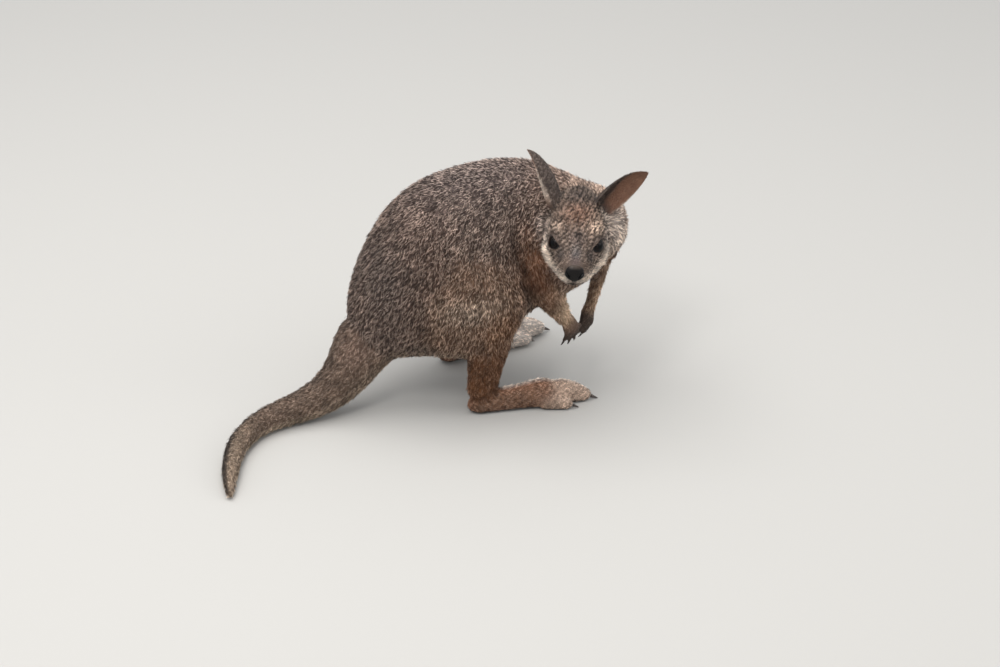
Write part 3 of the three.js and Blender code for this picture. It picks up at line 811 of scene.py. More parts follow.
def mark_face(hide):
    """Patches of the head, stripes, lips and lids. Returns the stripes and the bare skin."""
    face, head = hide.face, hide.part(5, *HEAD_PARTS)
    for _, where, centre, reach, code in HEAD_PATCHES:
        sides = {"both": (1, -1), "one": (1,)}.get(where) or (SIDES[where],)
        for side in sides:
            hide.paint(code, 0.9 * head * blob(face, mirrored(centre, side), reach))
    stripes, bare = np.zeros(len(face)), np.zeros(len(face))
    for side in SIDES.values():
        stripe = head * bell(hide.gap(head_line(STRIPE, side)), 6.0)
        hide.paint(STRIPE_HUE, stripe)
        stripes = np.maximum(stripes, stripe)
        line = hide.gap(head_line(MOUTH, side))
        hide.paint(LIP_HUE, 0.6 * head * bell(line - 3.0, 2.0) * ease(3, 9, np.abs(face[:, 1])))
        hide.paint(LID_HUE, 0.85 * head * bell(line, 1.2) * ease(17, 11, np.abs(face[:, 1])))
        gap = lid_distance(face, side)[0]
        hide.paint(LID_RING_HUE, 0.7 * head * bell(gap - 3.4, 2.2))
        hide.paint(LID_HUE, head * ease(1.5, 0.6, gap))
        bare = np.maximum(bare, ease(1.2, 0.6, gap))
        bare = np.maximum(bare, 0.8 * bell(line, 0.8))
    return stripes, bare


def mark_ears(hide):
    """The dark roots, the insides and the pale rims of the ears. Returns the lit insides."""
    inside = np.zeros(len(hide.points))
    for name in SIDES:
        ear = by_node(hide.which, lambda n: n == f"ear_{name}")
        share, across, facing = ear_place(hide.face, name)
        inner = ear * ease(-0.4, -0.05, hide.normals @ (np.array(HEAD_AXES) @ facing))
        inner = hide.web.even(inner, 2)
        rim = ear * ease(0.84, 0.93, across) * ease(0.1, 0.4, share)
        shaded = ear * ease(0.22, -0.12, across - np.interp(share, *EAR_SHADE))
        hide.paint(EAR_DARK, 0.8 * ear * ease(0.3, 0.05, share))
        hide.paint(EAR_INSIDE, 0.95 * inner * ease(0.08, 0.3, share))
        hide.paint(EAR_DARK, 0.9 * shaded)
        hide.paint(EAR_RIM, 0.75 * rim)
        inside = np.maximum(inside, inner * (1 - shaded))
    return inside


def markings(hide):
    """Paints the hide, and holds where it is bare, inside an ear, and of one calm colour."""
    trunk = hide.part(12, "rump", "belly", "chest", "thigh", "neck")
    arm = hide.part(6, "upper", "forearm")
    mark_body(hide, trunk, arm)
    mark_limbs(hide)
    pale = mark_feet(hide)
    ruff = blob(hide.ground, NECK_SIDE, NECK_CALM_REACH) * trunk
    lit = blob(hide.ground, *FOREARM_LIT) * arm
    stripes, bare = mark_face(hide)
    inside = mark_ears(hide)
    nose = by_node(hide.which, lambda n: n == "nose")
    hold(hide.mesh, "bare", np.maximum(bare, hide.web.even(nose, 1)))
    hold(hide.mesh, "inside", inside)
    hold(hide.mesh, "calm", np.maximum(0.6 * pale + 0.55 * ruff + 0.6 * lit, stripes))
    hold(hide.mesh, "colour", hide.colour)


def coat_fields(hide):
    """Length, width, number, tips and rise of the tufts over the skin."""
    mesh, web, which, face = hide.mesh, hide.web, hide.which, hide.face
    bare, inside, calm = held(mesh, "bare"), held(mesh, "inside"), held(mesh, "calm")
    fields = {key: web.even(worn(which, key), 8) for key in FIELDS}
    head = by_node(which, lambda n: family(n) in HEAD_PARTS)
    muzzle = web.even(head * ease(4, 40, face[:, 0]), 4)
    fields["length"] *= (1 - 0.55 * muzzle) * (1 - 0.35 * inside) * (1 + 0.6 * calm)
    fields["grizzle"] *= (1 - 0.75 * calm) * (1 - 0.5 * inside)
    fields["length"] *= 1 - 0.45 * held(mesh, "fold")
    fields["length"] *= 1 + 0.7 * blob(face, *EAR_TUFT)
    fields["width"] *= 1 - 0.25 * muzzle
    fields["spikes"] *= (1 + 0.3 * muzzle) * (1 - bare) * (1 - 0.55 * inside)
    for side in SIDES.values():
        gap = lid_distance(face, side)[0]
        fields["length"] *= 1 - 0.5 * head * ease(6, 1.5, gap)
        fields["length"] *= 1 + 0.6 * blob(face, mirrored(CHEEK, side), CHEEK_REACH)
    for key, values in fields.items():
        hold(mesh, key, values)
    for k, key in enumerate(("rise_root", "rise_tip")):
        rise = web.even(by_node(which, lambda n: WEAR[family(n)]["rise"][k]), 6)
        hold(mesh, key, rise * (1 + 0.5 * calm))


def coat_lies(hide):
    """The way the coat lies at each point of the skin; on the head, away from the nose."""
    lies = np.stack([lie_of(n) for n in UNDER_SKIN])[hide.which]
    away = unit(hide.face - np.array(NOSE_AHEAD)) @ np.array(HEAD_AXES).T
    head = by_node(hide.which, lambda n: family(n) in HEAD_PARTS)
    lies[head > 0.5] = away[head > 0.5]
    for _ in range(40):
        lies = hide.web.mean(lies)
        lies = unit(lies - hide.normals * (lies * hide.normals).sum(1, keepdims=True))
    hold(hide.mesh, "lie", lies)


def dress(mesh):
    """Keeps on the skin what the coat needs to know at each of its points."""
    hide = Hide(mesh)
    hold(mesh, "part", hide.which)
    markings(hide)
    coat_fields(hide)
    coat_lies(hide)


# ------------------------------------------------------------------ coat
# Each piece of coat: the families of sub-parts it grows on, and its slot. A name that ends
# in a side keeps to that side of the body.
COATS = {
    "coat_rump_right": (("rump",), "coat_back"),
    "coat_rump_left": (("rump",), "coat_back"),
    "coat_belly_right": (("belly",), "coat_back"),
    "coat_belly_left": (("belly",), "coat_back"),
    "coat_chest": (("chest",), "coat_flank"),
    "coat_neck": (("neck",), "coat_rufous"),
    "coat_thigh_right": (("thigh",), "coat_flank"),
    "coat_thigh_left": (("thigh",), "coat_flank"),
    "coat_tail": (("tail",), "coat_tail"),
    "coat_head": (HEAD_PARTS, "coat_face"),
    "coat_ears": (("ear",), "coat_ear"),
    "coat_foot_right": (("shank", "foot", "toe"), "coat_foot"),
    "coat_foot_left": (("shank", "foot", "toe"), "coat_foot"),
    "coat_arms": (("upper", "forearm", "hand"), "coat_hand"),
}
PATCH = 0.003  # how wide a tuft's place is on its piece's map
# What changes slowly over the coat: the size in mm over which it changes, and its seed.
WAVES = {
    "swing": (12, 11),
    "small swing": (3.6, 5),
    "lift": (5, 23),
    "clump": (3.6, 37),
    "shade": (14, 31),
    "broad shade": (40, 61),
}


def wander(points, name):
    """A smooth chance value from about -1 to 1 at each point, for one of WAVES."""
    size, seed = WAVES[name]
    chance = np.random.default_rng(seed)
    out = np.zeros(len(points))
    for _ in range(7):
        way = unit(chance.normal(size=3))
        turn = 2 * math.pi / (size * MM) * chance.uniform(0.6, 1.4)
        out += np.sin(points @ way * turn + chance.uniform(0, 2 * math.pi))
    return out / 2.6


def unwrapped(points, tri, name):
    """A flat map of these triangles of the skin, as (u, v) for each of their corners."""
    used, corners = np.unique(tri, return_inverse=True)
    mesh = mesh_of(name + "_map", points[used], corners.reshape(-1, 3))
    ob = as_object(name + "_map", mesh)
    mesh.uv_layers.new(name="map")
    bpy.context.view_layer.objects.active = ob
    ob.select_set(True)
    bpy.ops.object.mode_set(mode="EDIT")
    bpy.ops.mesh.select_all(action="SELECT")
    bpy.ops.uv.smart_project(angle_limit=math.radians(66), island_margin=0.003)
    bpy.ops.object.mode_set(mode="OBJECT")
    out = np.empty(len(mesh.loops) * 2, np.float32)
    mesh.uv_layers["map"].uv.foreach_get("vector", out)
    bpy.data.objects.remove(ob)
    bpy.data.meshes.remove(mesh)
    return out.reshape(-1, 3, 2).astype(float)


def mesh_of(name, points, faces):
    mesh = bpy.data.meshes.new(name)
    mesh.vertices.add(len(points))
    mesh.vertices.foreach_set("co", points.astype(np.float32).ravel())
    mesh.loops.add(len(faces) * 3)
    mesh.loops.foreach_set("vertex_index", faces.astype(np.int32).ravel())
    mesh.polygons.add(len(faces))
    mesh.polygons.foreach_set("loop_start", np.arange(len(faces), dtype=np.int32) * 3)
    mesh.update(calc_edges=True)
    shade_smooth(mesh)
    return mesh


class Ground:
    """Chance places on a part of the skin, and what the skin holds at each."""

    def __init__(self, mesh, tri, number, maps, chance):
        total = int(number.sum())
        steps = np.cumsum(number)
        self.where = np.minimum(np.searchsorted(steps, chance.random(total) * steps[-1]), len(tri) - 1)
        u = chance.random((total, 2))
        over = u.sum(1) > 1
        u[over] = 1 - u[over]
        self.mix = np.stack([1 - u.sum(1), u[:, 0], u[:, 1]], 1)
        self.mesh, self.tri, self.size = mesh, tri, total
        self.map = (maps[self.where] * self.mix[:, :, None]).sum(1)

    def at(self, values):
        rows = values[self.tri[self.where]]
        return (rows * (self.mix if rows.ndim == 2 else self.mix[:, :, None])).sum(1)

    def held(self, name):
        return self.at(held(self.mesh, name))


CREAM = (1.2, 0.965, 0.76)  # the tint of a pale tip
LIGHTNESS = (0.3, 0.55, 0.15)  # what red, green and blue add to how light a colour looks
# A tuft is rings of three points and a tip. Each ring: share of the length, share of the width.
LOCK = ((0.0, 1.0), (0.5, 0.85))
SPIKE = ((0.0, 1.0),)
SPIKE_SHORT = 0.72  # a straight tuft's share of the length that a bent one has
TUFT_ROOT = 0.35  # how deep a tuft's foot is in the skin, in mm


def tuft_faces(rings):
    """Faces of one closed tuft, and the place of each of its points on its patch of the map."""
    faces = []
    for r in range(rings):
        low = 3 * r
        for k in range(3):
            j = (k + 1) % 3
            if r == rings - 1:
                faces.append((low + k, low + 3, low + j))
            else:
                faces += [(low + k, low + 3 + k, low + j), (low + j, low + 3 + k, low + 3 + j)]
    faces.append((0, 1, 2))
    places = []
    for r in range(rings):
        high = r / rings
        places += [(0.0, high), (0.5, high + 0.15), (1.0, high)]
    places.append((0.5, 1.0))
    return np.array(faces), np.array(places)


def tuft_ways(ground, kind, root, normal, chance):
    """Which way each tuft leans, as the ways of its root and of its tip; also its side."""
    total = ground.size
    lie = ground.held("lie")
    lie = unit(lie - normal * (lie * normal).sum(1, keepdims=True))
    # a tuft swings with its neighbours, and a little on its own
    swing = 0.26 * wander(root, "swing") + 0.34 * wander(root, "small swing")
    swing += chance.normal(0, 0.22, total)
    side = np.cross(normal, lie)
    lie = lie * np.cos(swing)[:, None] + side * np.sin(swing)[:, None]
    side = np.cross(normal, lie)
    lift = np.clip(chance.normal(1, 0.28, total) + 0.3 * wander(root, "lift"), 0.3, 2.0)
    ways = []
    for key in ("rise_root", "rise_tip"):
        rise = np.radians(ground.held(key) * lift)[:, None]
        ways.append(lie * np.cos(rise) + normal * np.sin(rise))
    if kind is SPIKE:
        ways = [unit(ways[0] * 0.45 + ways[1] * 0.55)] * 2
    else:
        ways[1] = unit(ways[1] + side * chance.normal(0, 0.42, total)[:, None])
    return ways, side


def tuft_shades(ground, kind, root, tip, chance):
    """Salt and pepper: a dark root, and a tip that is pale or dark, in small clumps."""
    total = ground.size
    grizzle = ground.held("grizzle")[:, None]
    pale = (chance.random(total) < np.clip(0.41 + 0.8 * wander(tip, "clump"), 0.03, 0.97))[:, None]
    broad = 1 + 0.16 * wander(root, "shade") + 0.1 * wander(root, "broad shade")
    colour = ground.held("colour") * (chance.uniform(0.85, 1.15, total) * broad)[:, None]
    low = np.minimum(grizzle, 1.15)
    under = colour * (1 - 0.82 * low)
    cream = (colour @ np.array(LIGHTNESS))[:, None] * np.array(CREAM)
    light = (0.5 * colour + 0.5 * cream) * (1 + 2.4 * grizzle) + 0.02 * grizzle
    end = np.where(pale, light, colour * (1 - 0.76 * low))
    middle = np.where(pale, 0.62 * light, colour * (1 - 0.7 * low))
    return [under] * 3 + ([middle] * 3 if kind is LOCK else []) + [end]


def tufts(ground, kind, settings, chance):
    """Points, faces, colours and map of all tufts of one kind on a piece of ground."""
    total = ground.size
    root, normal = ground.at(points_of(ground.mesh)), unit(ground.at(normals_of(ground.mesh)))
    short = 1.0 if kind is LOCK else SPIKE_SHORT
    length = ground.held("length") * short * settings.length * chance.uniform(0.65, 1.2, total) * MM
    width = ground.held("width") * chance.uniform(0.7, 1.2, total) * MM
    ways, side = tuft_ways(ground, kind, root, normal, chance)

    spin = chance.uniform(0, 2 * math.pi / 3, total)
    centre = root - normal * TUFT_ROOT * MM
    before = 0.0
    rows = []
    for (share, wide), way in zip(kind, ways):
        centre = centre + ways[0] * (length * (share - before))[:, None]
        before = share
        up = np.cross(way, side)
        for k in range(3):
            angle = (spin + k * 2 * math.pi / 3)[:, None]
            radius = (width / 2 * wide)[:, None]
            rows.append(centre + (side * np.cos(angle) + up * np.sin(angle) * 0.7) * radius)
    rows.append(centre + ways[1] * (length * (1 - before))[:, None])
    shades = tuft_shades(ground, kind, root, rows[-1], chance)

    faces, places = tuft_faces(len(kind))
    numbers = (np.arange(total)[:, None, None] * len(rows) + faces).reshape(-1, 3)
    maps = np.clip(ground.map, 0.002, 0.998)[:, None] + (places - 0.5) * PATCH
    return (
        np.stack(rows, 1).reshape(-1, 3),
        numbers,
        np.stack(shades, 1).reshape(-1, 3),
        maps[:, faces.ravel()].reshape(-1, 2),
    )


def grow(skin, name, settings):
    """One piece of coat: closed tapering tufts rooted in the skin of some sub-parts."""
    chance = np.random.default_rng(settings.seed + sum(map(ord, name)))
    mesh = skin.data
    points, tri = points_of(mesh), triangles_of(mesh)
    chosen = np.array([family(n) in COATS[name][0] for n in UNDER_SKIN])
    tri = tri[chosen[held(mesh, "part").round().astype(int)[tri[:, 0]]]]
    side = SIDES.get(name.split("_")[-1])
    if side:
        tri = tri[(points[tri].mean(1)[:, 1] - SHIFT.y) * side > 0]
    a, b, c = (points[tri[:, k]] for k in range(3))
    areas = np.linalg.norm(np.cross(b - a, c - a), axis=1) / 2 / MM**2
    maps = unwrapped(points, tri, name)
    parts, start = [], 0
    for kind, key in ((LOCK, "locks"), (SPIKE, "spikes")):
        number = areas * held(mesh, key)[tri].mean(1) * settings.thickness
        if number.sum() < 1:
            continue
        made = list(tufts(Ground(mesh, tri, number, maps, chance), kind, settings, chance))
        made[1] = made[1] + start
        start += len(made[0])
        parts.append(made)
    co, faces, colours, uv = (np.concatenate(rows) for rows in zip(*parts))
    co[:, 2] = np.maximum(co[:, 2], 0)  # no tuft goes into the floor
    out = mesh_of(name, co, faces)
    hold(out, "colour", colours)
    out.uv_layers.new(name="OFBake").uv.foreach_set("vector", uv.astype(np.float32).ravel())
    return as_object(name, out)


# ------------------------------------------------------------------ eyes, nose, claws, whiskers
CORNEA_RISE, CORNEA_REACH = 0.02, 36  # share of the eyeball's radius, and degrees


def build_eye(name, side):
    """The eyeball, with the cornea standing a little proud where the eye faces."""
    bm = bmesh.new()
    bmesh.ops.create_uvsphere(bm, u_segments=48, v_segments=32, radius=EYE_RADIUS)
    for v in bm.verts:
        angle = v.co.angle(Vector((0, 0, 1)))
        v.co *= 1 + CORNEA_RISE * math.exp(-((angle / math.radians(CORNEA_REACH)) ** 4))
    out = Vector(eye_axes(side)[2])
    turn = HEAD_AXES @ out.to_track_quat("Z", "Y").to_matrix()
    centre = Vector(from_head(mirrored(EYE_IN_HEAD, side)))
    place = Matrix.Translation(centre) @ turn.to_4x4() @ Matrix.Scale(MM, 4)
    bmesh.ops.transform(bm, matrix=place, verts=bm.verts)
    ob = from_bmesh(f"eyeball_{name}", bm)
    pupil = place @ Vector((0, 0, EYE_RADIUS))
    ob.data.materials.append(eye_finish(f"eye {name}", pupil))
    return ob


# A nostril's line on the nose pad, for the left side.
NOSTRIL = ((39.6, 8.4, -13.0), (40.8, 6.7, -15.4), (41, 4.6, -18.4))
NOSE_GRAIN = 0.3  # voxel of the nose pad, in mm
NOSE_TOP_HUE = 0x3B312A


def build_nose(settings):
    """The nose pad, drawn down to the lip, with its nostrils, their hollows darkened with painted shade.
    """
    bm = bmesh.new()
    bm.from_mesh(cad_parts["nose"].data)
    bmesh.ops.remove_doubles(bm, verts=bm.verts, dist=1e-6)
    ob = remeshed(from_bmesh("nose_pad", bm), NOSE_GRAIN * MM)
    mesh = ob.data
    web = Web(mesh)
    face = in_head(web.even(points_of(mesh), 14))
    low = np.clip(-12 - face[:, 2], 0, None)
    face[:, 2] -= 0.72 * low
    face[:, 1] *= 1 - 0.1 * ease(-9, -5, face[:, 2]) + 0.12 * ease(-12, -16, face[:, 2])
    face[:, 1] *= 1 - 0.62 * ease(-17, -25, face[:, 2])
    face[:, 0] -= 0.8 * ease(-18, -25, face[:, 2])
    move_to(mesh, from_head(face))
    points, normals = points_of(mesh), normals_of(mesh)
    push = np.full(len(points), 0.15)
    # the nostrils' hollows are darkened with painted shade
    dark = np.zeros(len(points))
    for side in SIDES.values():
        line = line_gap(mesh, points, head_line(NOSTRIL, side))
        push += 0.5 * bell(line - 2.1, 0.9) - 2.4 * bell(line, 1.0)
        dark = np.maximum(dark, bell(line, 1.5))
    push -= 0.7 * bell(face[:, 1], 0.6) * ease(-12.5, -15, face[:, 2])
    move_to(mesh, web.even(points + normals * push[:, None] * MM, 2))
    top = (ease(-9.5, -5.5, face[:, 2]) * ease(9, 5, np.abs(face[:, 1])))[:, None]
    colour = np.array(settings.nose) * (1 - top) + np.array(tone(NOSE_TOP_HUE)) * top
    hold(mesh, "colour", colour * (1 - 0.95 * dark[:, None]))
    return ob


def build_claws(name, nodes):
    """Horn of one paw: the frame's claws, rounded."""
    bm = bmesh.new()
    for node in nodes:
        bm.from_mesh(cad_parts[node].data)
    bmesh.ops.remove_doubles(bm, verts=bm.verts, dist=1e-6)
    ob = from_bmesh(name, bm)
    round_off = ob.modifiers.new("round", "SUBSURF")
    round_off.levels = round_off.render_levels = 2
    return applied(ob)


def hairs(name, roots, ways, lengths, widths, droop, seed):
    """Fine tapering hairs, each a closed tube that bends down along its length."""
    chance = np.random.default_rng(seed)
    steps, sides = 6, 4
    co, faces = [], []
    for root, way, length, width in zip(roots, ways, lengths, widths):
        start = len(co)
        side = unit(np.cross(way, (0, 0, 1)))
        up = np.cross(side, way)
        bend = chance.uniform(-0.15, 0.15)
        for r in range(steps):
            t = r / steps
            centre = root + way * length * t + side * bend * length * t * t
            centre = centre - np.array((0, 0, 1)) * droop * length * t * t
            for k in range(sides):
                angle = 2 * math.pi * k / sides
                ring = side * math.cos(angle) + up * math.sin(angle)
                co.append(centre + ring * width / 2 * (1 - 0.8 * t))
        co.append(root + way * length + side * bend * length - np.array((0, 0, 1)) * droop * length)
        for r in range(steps):
            for k in range(sides):
                a, b = start + r * sides + k, start + r * sides + (k + 1) % sides
                if r == steps - 1:
                    faces.append((a, b, start + steps * sides))
                else:
                    faces += [(a, b, a + sides), (b, b + sides, a + sides)]
        faces += [(start, start + 2, start + 1), (start, start + 3, start + 2)]
    mesh = mesh_of(name, np.array(co), np.array(faces))
    return as_object(name, mesh)


# Whiskers of the left side, in the head's frame: root, way and length in mm. Rows r and
# columns c stand on the muzzle, and three more over the eye.
WHISKERS = [
    (
        (34 - 4.2 * c, 13.2 + 1.6 * c, -14 - 3.2 * r),
        (0.15 - 0.25 * c / 3, 1, -0.12 * r),
        14 + 2 * c,
    )
    for r in range(3)
    for c in range(4)
]
WHISKERS += [
    ((4, 20, 17), (0.5, 0.6, 0.9), 12),
    ((1, 21, 17.5), (0.2, 0.7, 1), 13),
    ((-2, 25, 14), (-0.2, 0.8, 0.7), 12),
]
WHISKER_WIDTH, WHISKER_DROOP, WHISKER_HUE = 0.24, 0.16, 0x4A423E
LASHES, LASH_WIDTH, LASH_DROOP, LASH_HUE = 15, 0.3, 0.05, 0x1A1513
LASH_FROM, LASH_TURN = 45, 118  # degrees round the eye's opening


def build_whiskers(skin):
    """Whiskers on the pads of the muzzle and over the eyes."""
    chance = np.random.default_rng(41)
    tree = tree_of(skin.data)
    roots, ways, lengths, widths = [], [], [], []
    for side in SIDES.values():
        for place, way, length in WHISKERS:
            place = from_head(mirrored(place, side) + chance.normal(0, 0.35, 3))
            root, normal, _, _ = tree.find_nearest(Vector(place))
            way = np.array(HEAD_AXES) @ (unit(mirrored(way, side)) + chance.normal(0, 0.1, 3))
            roots.append(np.array(root) - np.array(normal) * 0.4 * MM)
            ways.append(unit(way + np.array(normal) * 0.4))
            lengths.append(length * chance.uniform(0.8, 1.15) * MM)
            widths.append(WHISKER_WIDTH * MM)
    return hairs("whiskers", roots, ways, lengths, widths, WHISKER_DROOP, 43)


def build_lashes():
    """Lashes along the upper lid, longest at the outer corner."""
    chance = np.random.default_rng(51)
    roots, ways, lengths, widths = [], [], [], []
    for side in SIDES.values():
        along, above, out = eye_axes(side)
        centre = mirrored(EYE_IN_HEAD, side)
        for k in range(LASHES):
            t = k / (LASHES - 1)
            angle = LASH_FROM + LASH_TURN * t
            reach = min(opening_at(angle) + 0.3, EYE_RADIUS)
            a, b = reach * math.cos(math.radians(angle)), reach * math.sin(math.radians(angle))
            c = math.sqrt(max((EYE_RADIUS + LID_RISE) ** 2 - a * a - b * b, 4))
            root = centre + along * a + above * b + out * c
            way = unit(out * 0.8 + above * 0.8 + along * (0.4 - 1.3 * t) + chance.normal(0, 0.08, 3))
            roots.append(from_head(root))
            ways.append(np.array(HEAD_AXES) @ way)
            lengths.append((3.2 + 2.0 * t) * chance.uniform(0.85, 1.1) * MM)
            widths.append(LASH_WIDTH * MM)
    return hairs("lashes", roots, ways, lengths, widths, LASH_DROOP, 53)


# ------------------------------------------------------------------ finishes
def finish(name, roughness):
    material = bpy.data.materials.new(name)
    material.use_nodes = True
    nodes, links = material.node_tree.nodes, material.node_tree.links
    shader = nodes["Principled BSDF"]
    shader.inputs["Roughness"].default_value = roughness
    return material, nodes, links, shader


def grain_of(nodes, links, scale, detail):
    noise = nodes.new("ShaderNodeTexNoise")
    noise.inputs["Scale"].default_value = scale
    noise.inputs["Detail"].default_value = detail
    place = nodes.new("ShaderNodeTexCoord")
    links.new(place.outputs["Object"], noise.inputs["Vector"])
    return noise.outputs["Fac"]


def bumped(nodes, links, shader, height, distance, strength):
    bump = nodes.new("ShaderNodeBump")
    bump.inputs["Distance"].default_value = distance
    bump.inputs["Strength"].default_value = strength
    links.new(height, bump.inputs["Height"])
    links.new(bump.outputs["Normal"], shader.inputs["Normal"])


def spread_of(nodes, links, grain, low, high):
    """A grain drawn out between two values."""
    spread = nodes.new("ShaderNodeMapRange")
    spread.inputs["From Min"].default_value = 0.3
    spread.inputs["From Max"].default_value = 0.7
    spread.inputs["To Min"].default_value = low
    spread.inputs["To Max"].default_value = high
    links.new(grain, spread.inputs["Value"])
    return spread.outputs["Result"]


def times(nodes, links, colour, factor):
    scaled = nodes.new("ShaderNodeVectorMath")
    scaled.operation = "SCALE"
    links.new(colour, scaled.inputs[0])
    links.new(factor, scaled.inputs["Scale"])
    return scaled.outputs["Vector"]


HIDE_GAIN, FUR_GAIN = 0.58, 1.0  # the hide lies in the coat's shade


def fur_finish(name, gain, roughness, under=False):
    """The colour that a mesh holds, a little uneven; under the coat, with short fine fur."""
    material, nodes, links, shader = finish(name, roughness)
    held_colour = nodes.new("ShaderNodeAttribute")
    held_colour.attribute_name = "colour"
    uneven = spread_of(nodes, links, grain_of(nodes, links, 70, 3), 0.85 * gain, 1.15 * gain)
    colour = times(nodes, links, held_colour.outputs["Color"], uneven)
    if under:
        fine = grain_of(nodes, links, 1100, 3)
        colour = times(nodes, links, colour, spread_of(nodes, links, fine, 0.45, 1.5))
        bumped(nodes, links, shader, fine, 0.8 * MM, 0.9)
    links.new(colour, shader.inputs["Base Color"])
    shader.inputs["Specular IOR Level"].default_value = 0.3
    return material


def ramp_of(nodes, stops):
    ramp = nodes.new("ShaderNodeValToRGB")
    elements = ramp.color_ramp.elements
    while len(elements) < len(stops):
        elements.new(0.5)
    for element, (at, colour) in zip(elements, stops):
        element.position = at
        element.color = (*colour, 1)
    return ramp


def eye_finish(name, pupil):
    """A dark eye: black pupil, brown iris with fine rays, and a dark rim, under a clear coat."""
    material, nodes, links, shader = finish(name, 0.12)
    place = nodes.new("ShaderNodeTexCoord")
    away = nodes.new("ShaderNodeVectorMath")
    away.operation = "DISTANCE"
    away.inputs[1].default_value = pupil
    links.new(place.outputs["Object"], away.inputs[0])
    scaled = nodes.new("ShaderNodeMath")
    scaled.operation = "MULTIPLY_ADD"
    scaled.inputs[1].default_value = 100
    links.new(away.outputs["Value"], scaled.inputs[0])
    wobble = nodes.new("ShaderNodeMath")
    wobble.operation = "MULTIPLY"
    wobble.inputs[1].default_value = 0.08
    links.new(grain_of(nodes, links, 1400, 2), wobble.inputs[0])
    links.new(wobble.outputs["Value"], scaled.inputs[2])
    iris = tuple(bpy.context.scene.wallaby_face.iris)
    ramp = ramp_of(nodes, (
        (0.0, (0.001, 0.001, 0.001)), (0.34, (0.001, 0.001, 0.001)), (0.42, iris),
        (0.66, tuple(0.6 * c for c in iris)), (0.74, (0.002, 0.0015, 0.001)), (1.0, tone(0x1A1614)),
    ))
    links.new(scaled.outputs["Value"], ramp.inputs["Fac"])
    links.new(ramp.outputs["Color"], shader.inputs["Base Color"])
    shader.inputs["Specular IOR Level"].default_value = 0.06
    shader.inputs["Coat Weight"].default_value = 0.14
    shader.inputs["Coat Roughness"].default_value = 0.03
    return material


def nose_finish():
    """Bare pebbled skin, a little moist."""
    material, nodes, links, shader = finish("nose skin", 0.42)
    colour = nodes.new("ShaderNodeAttribute")
    colour.attribute_name = "colour"
    links.new(colour.outputs["Color"], shader.inputs["Base Color"])
    pebbles = nodes.new("ShaderNodeTexVoronoi")
    pebbles.inputs["Scale"].default_value = 2400
    place = nodes.new("ShaderNodeTexCoord")
    links.new(place.outputs["Object"], pebbles.inputs["Vector"])
    bumped(nodes, links, shader, pebbles.outputs["Distance"], 0.12 * MM, 0.6)
    shader.inputs["Specular IOR Level"].default_value = 0.14
    shader.inputs["Coat Weight"].default_value = 0.08
    shader.inputs["Coat Roughness"].default_value = 0.18
    return material


def claw_finish(colour):
    """Dark horn with a fine lengthwise grain and worn paler patches."""
    material, nodes, links, shader = finish("horn", 0.36)
    worn_colour = tuple(min(1, 3.2 * c + 0.01) for c in colour)
    ramp = ramp_of(nodes, ((0.35, tuple(colour)), (0.75, worn_colour)))
    links.new(grain_of(nodes, links, 260, 4), ramp.inputs["Fac"])
    links.new(ramp.outputs["Color"], shader.inputs["Base Color"])
    bumped(nodes, links, shader, grain_of(nodes, links, 1500, 2), 0.2 * MM, 0.4)
    return material


def hair_finish(name, colour):
    material, nodes, links, shader = finish(name, 0.45)
    ramp = ramp_of(nodes, ((0.3, tuple(colour)), (0.8, tuple(2.4 * c for c in colour))))
    links.new(grain_of(nodes, links, 120, 2), ramp.inputs["Fac"])
    links.new(ramp.outputs["Color"], shader.inputs["Base Color"])
    return material


# ------------------------------------------------------------------ stage
# The camera's axes, and its place in mm from the heels.
CAMERA_RIGHT = (0.93358043, -0.35836795, 0)
CAMERA_BACK = (-0.31035575, -0.80850437, 0.5)
CAMERA_PLACE = (-895.678, -2448.982, 1572.953)
AIM = (0, 0, 0.12)  # the place that the lamps face
FLOOR_REACH = 20
SKY_COLOUR = (0.93, 0.96, 1, 1)
LAMPS = {  # place in metres, size, power in watts
    "overhead": ((-0.35, 0.1, 2.0), 2.0, 42),
    "front": ((-1.0, -1.1, 2.0), 0.5, 18),
    "side": ((1.6, -0.9, 1.1), 1.0, 6),
}


def build_camera(settings):
    data = bpy.data.cameras.new("camera")
    data.sensor_width = 36
    data.lens = settings.lens
    data.clip_start, data.clip_end = 0.05, 60
    camera = bpy.data.objects.new("camera", data)
    bpy.context.scene.collection.objects.link(camera)
    right, back = Vector(CAMERA_RIGHT), Vector(CAMERA_BACK)
    axes = Matrix((right, back.cross(right), back)).transposed()
    camera.matrix_world = Matrix.Translation(from_heels(CAMERA_PLACE)) @ axes.to_4x4()
    bpy.context.scene.camera = camera


def build_stage(settings):
    bm = bmesh.new()
    bmesh.ops.create_grid(bm, x_segments=1, y_segments=1, size=FLOOR_REACH)
    floor = from_bmesh("floor", bm)
    material, _, _, shader = finish("floor", 0.9)
    shader.inputs["Base Color"].default_value = (*settings.floor, 1)
    floor.data.materials.append(material)
    scene = bpy.context.scene
    world = bpy.data.worlds.new("sky")
    world.use_nodes = True
    sky = world.node_tree.nodes["Background"].inputs
    sky["Color"].default_value = SKY_COLOUR
    sky["Strength"].default_value = settings.daylight
    scene.world = world
    for name, (where, size, power) in LAMPS.items():
        lamp = bpy.data.lights.new(name, "AREA")
        lamp.size = size
        lamp.energy = power
        light = bpy.data.objects.new(name, lamp)
        scene.collection.objects.link(light)
        light.location = where
        light.rotation_mode = "QUATERNION"
        aim = Vector(AIM) - Vector(where)
        light.rotation_quaternion = aim.to_track_quat("-Z", "Y")
    scene.view_settings.view_transform = "Standard"


# ------------------------------------------------------------------ operators
class WALLABY_OT_stage(bpy.types.Operator):
    """Set up the floor, the light and the camera"""

    bl_idname = "wallaby.stage"
    bl_label = "Stage"

    def execute(self, context):
        build_camera(context.scene.wallaby_stage)
        build_stage(context.scene.wallaby_stage)
        return {"FINISHED"}


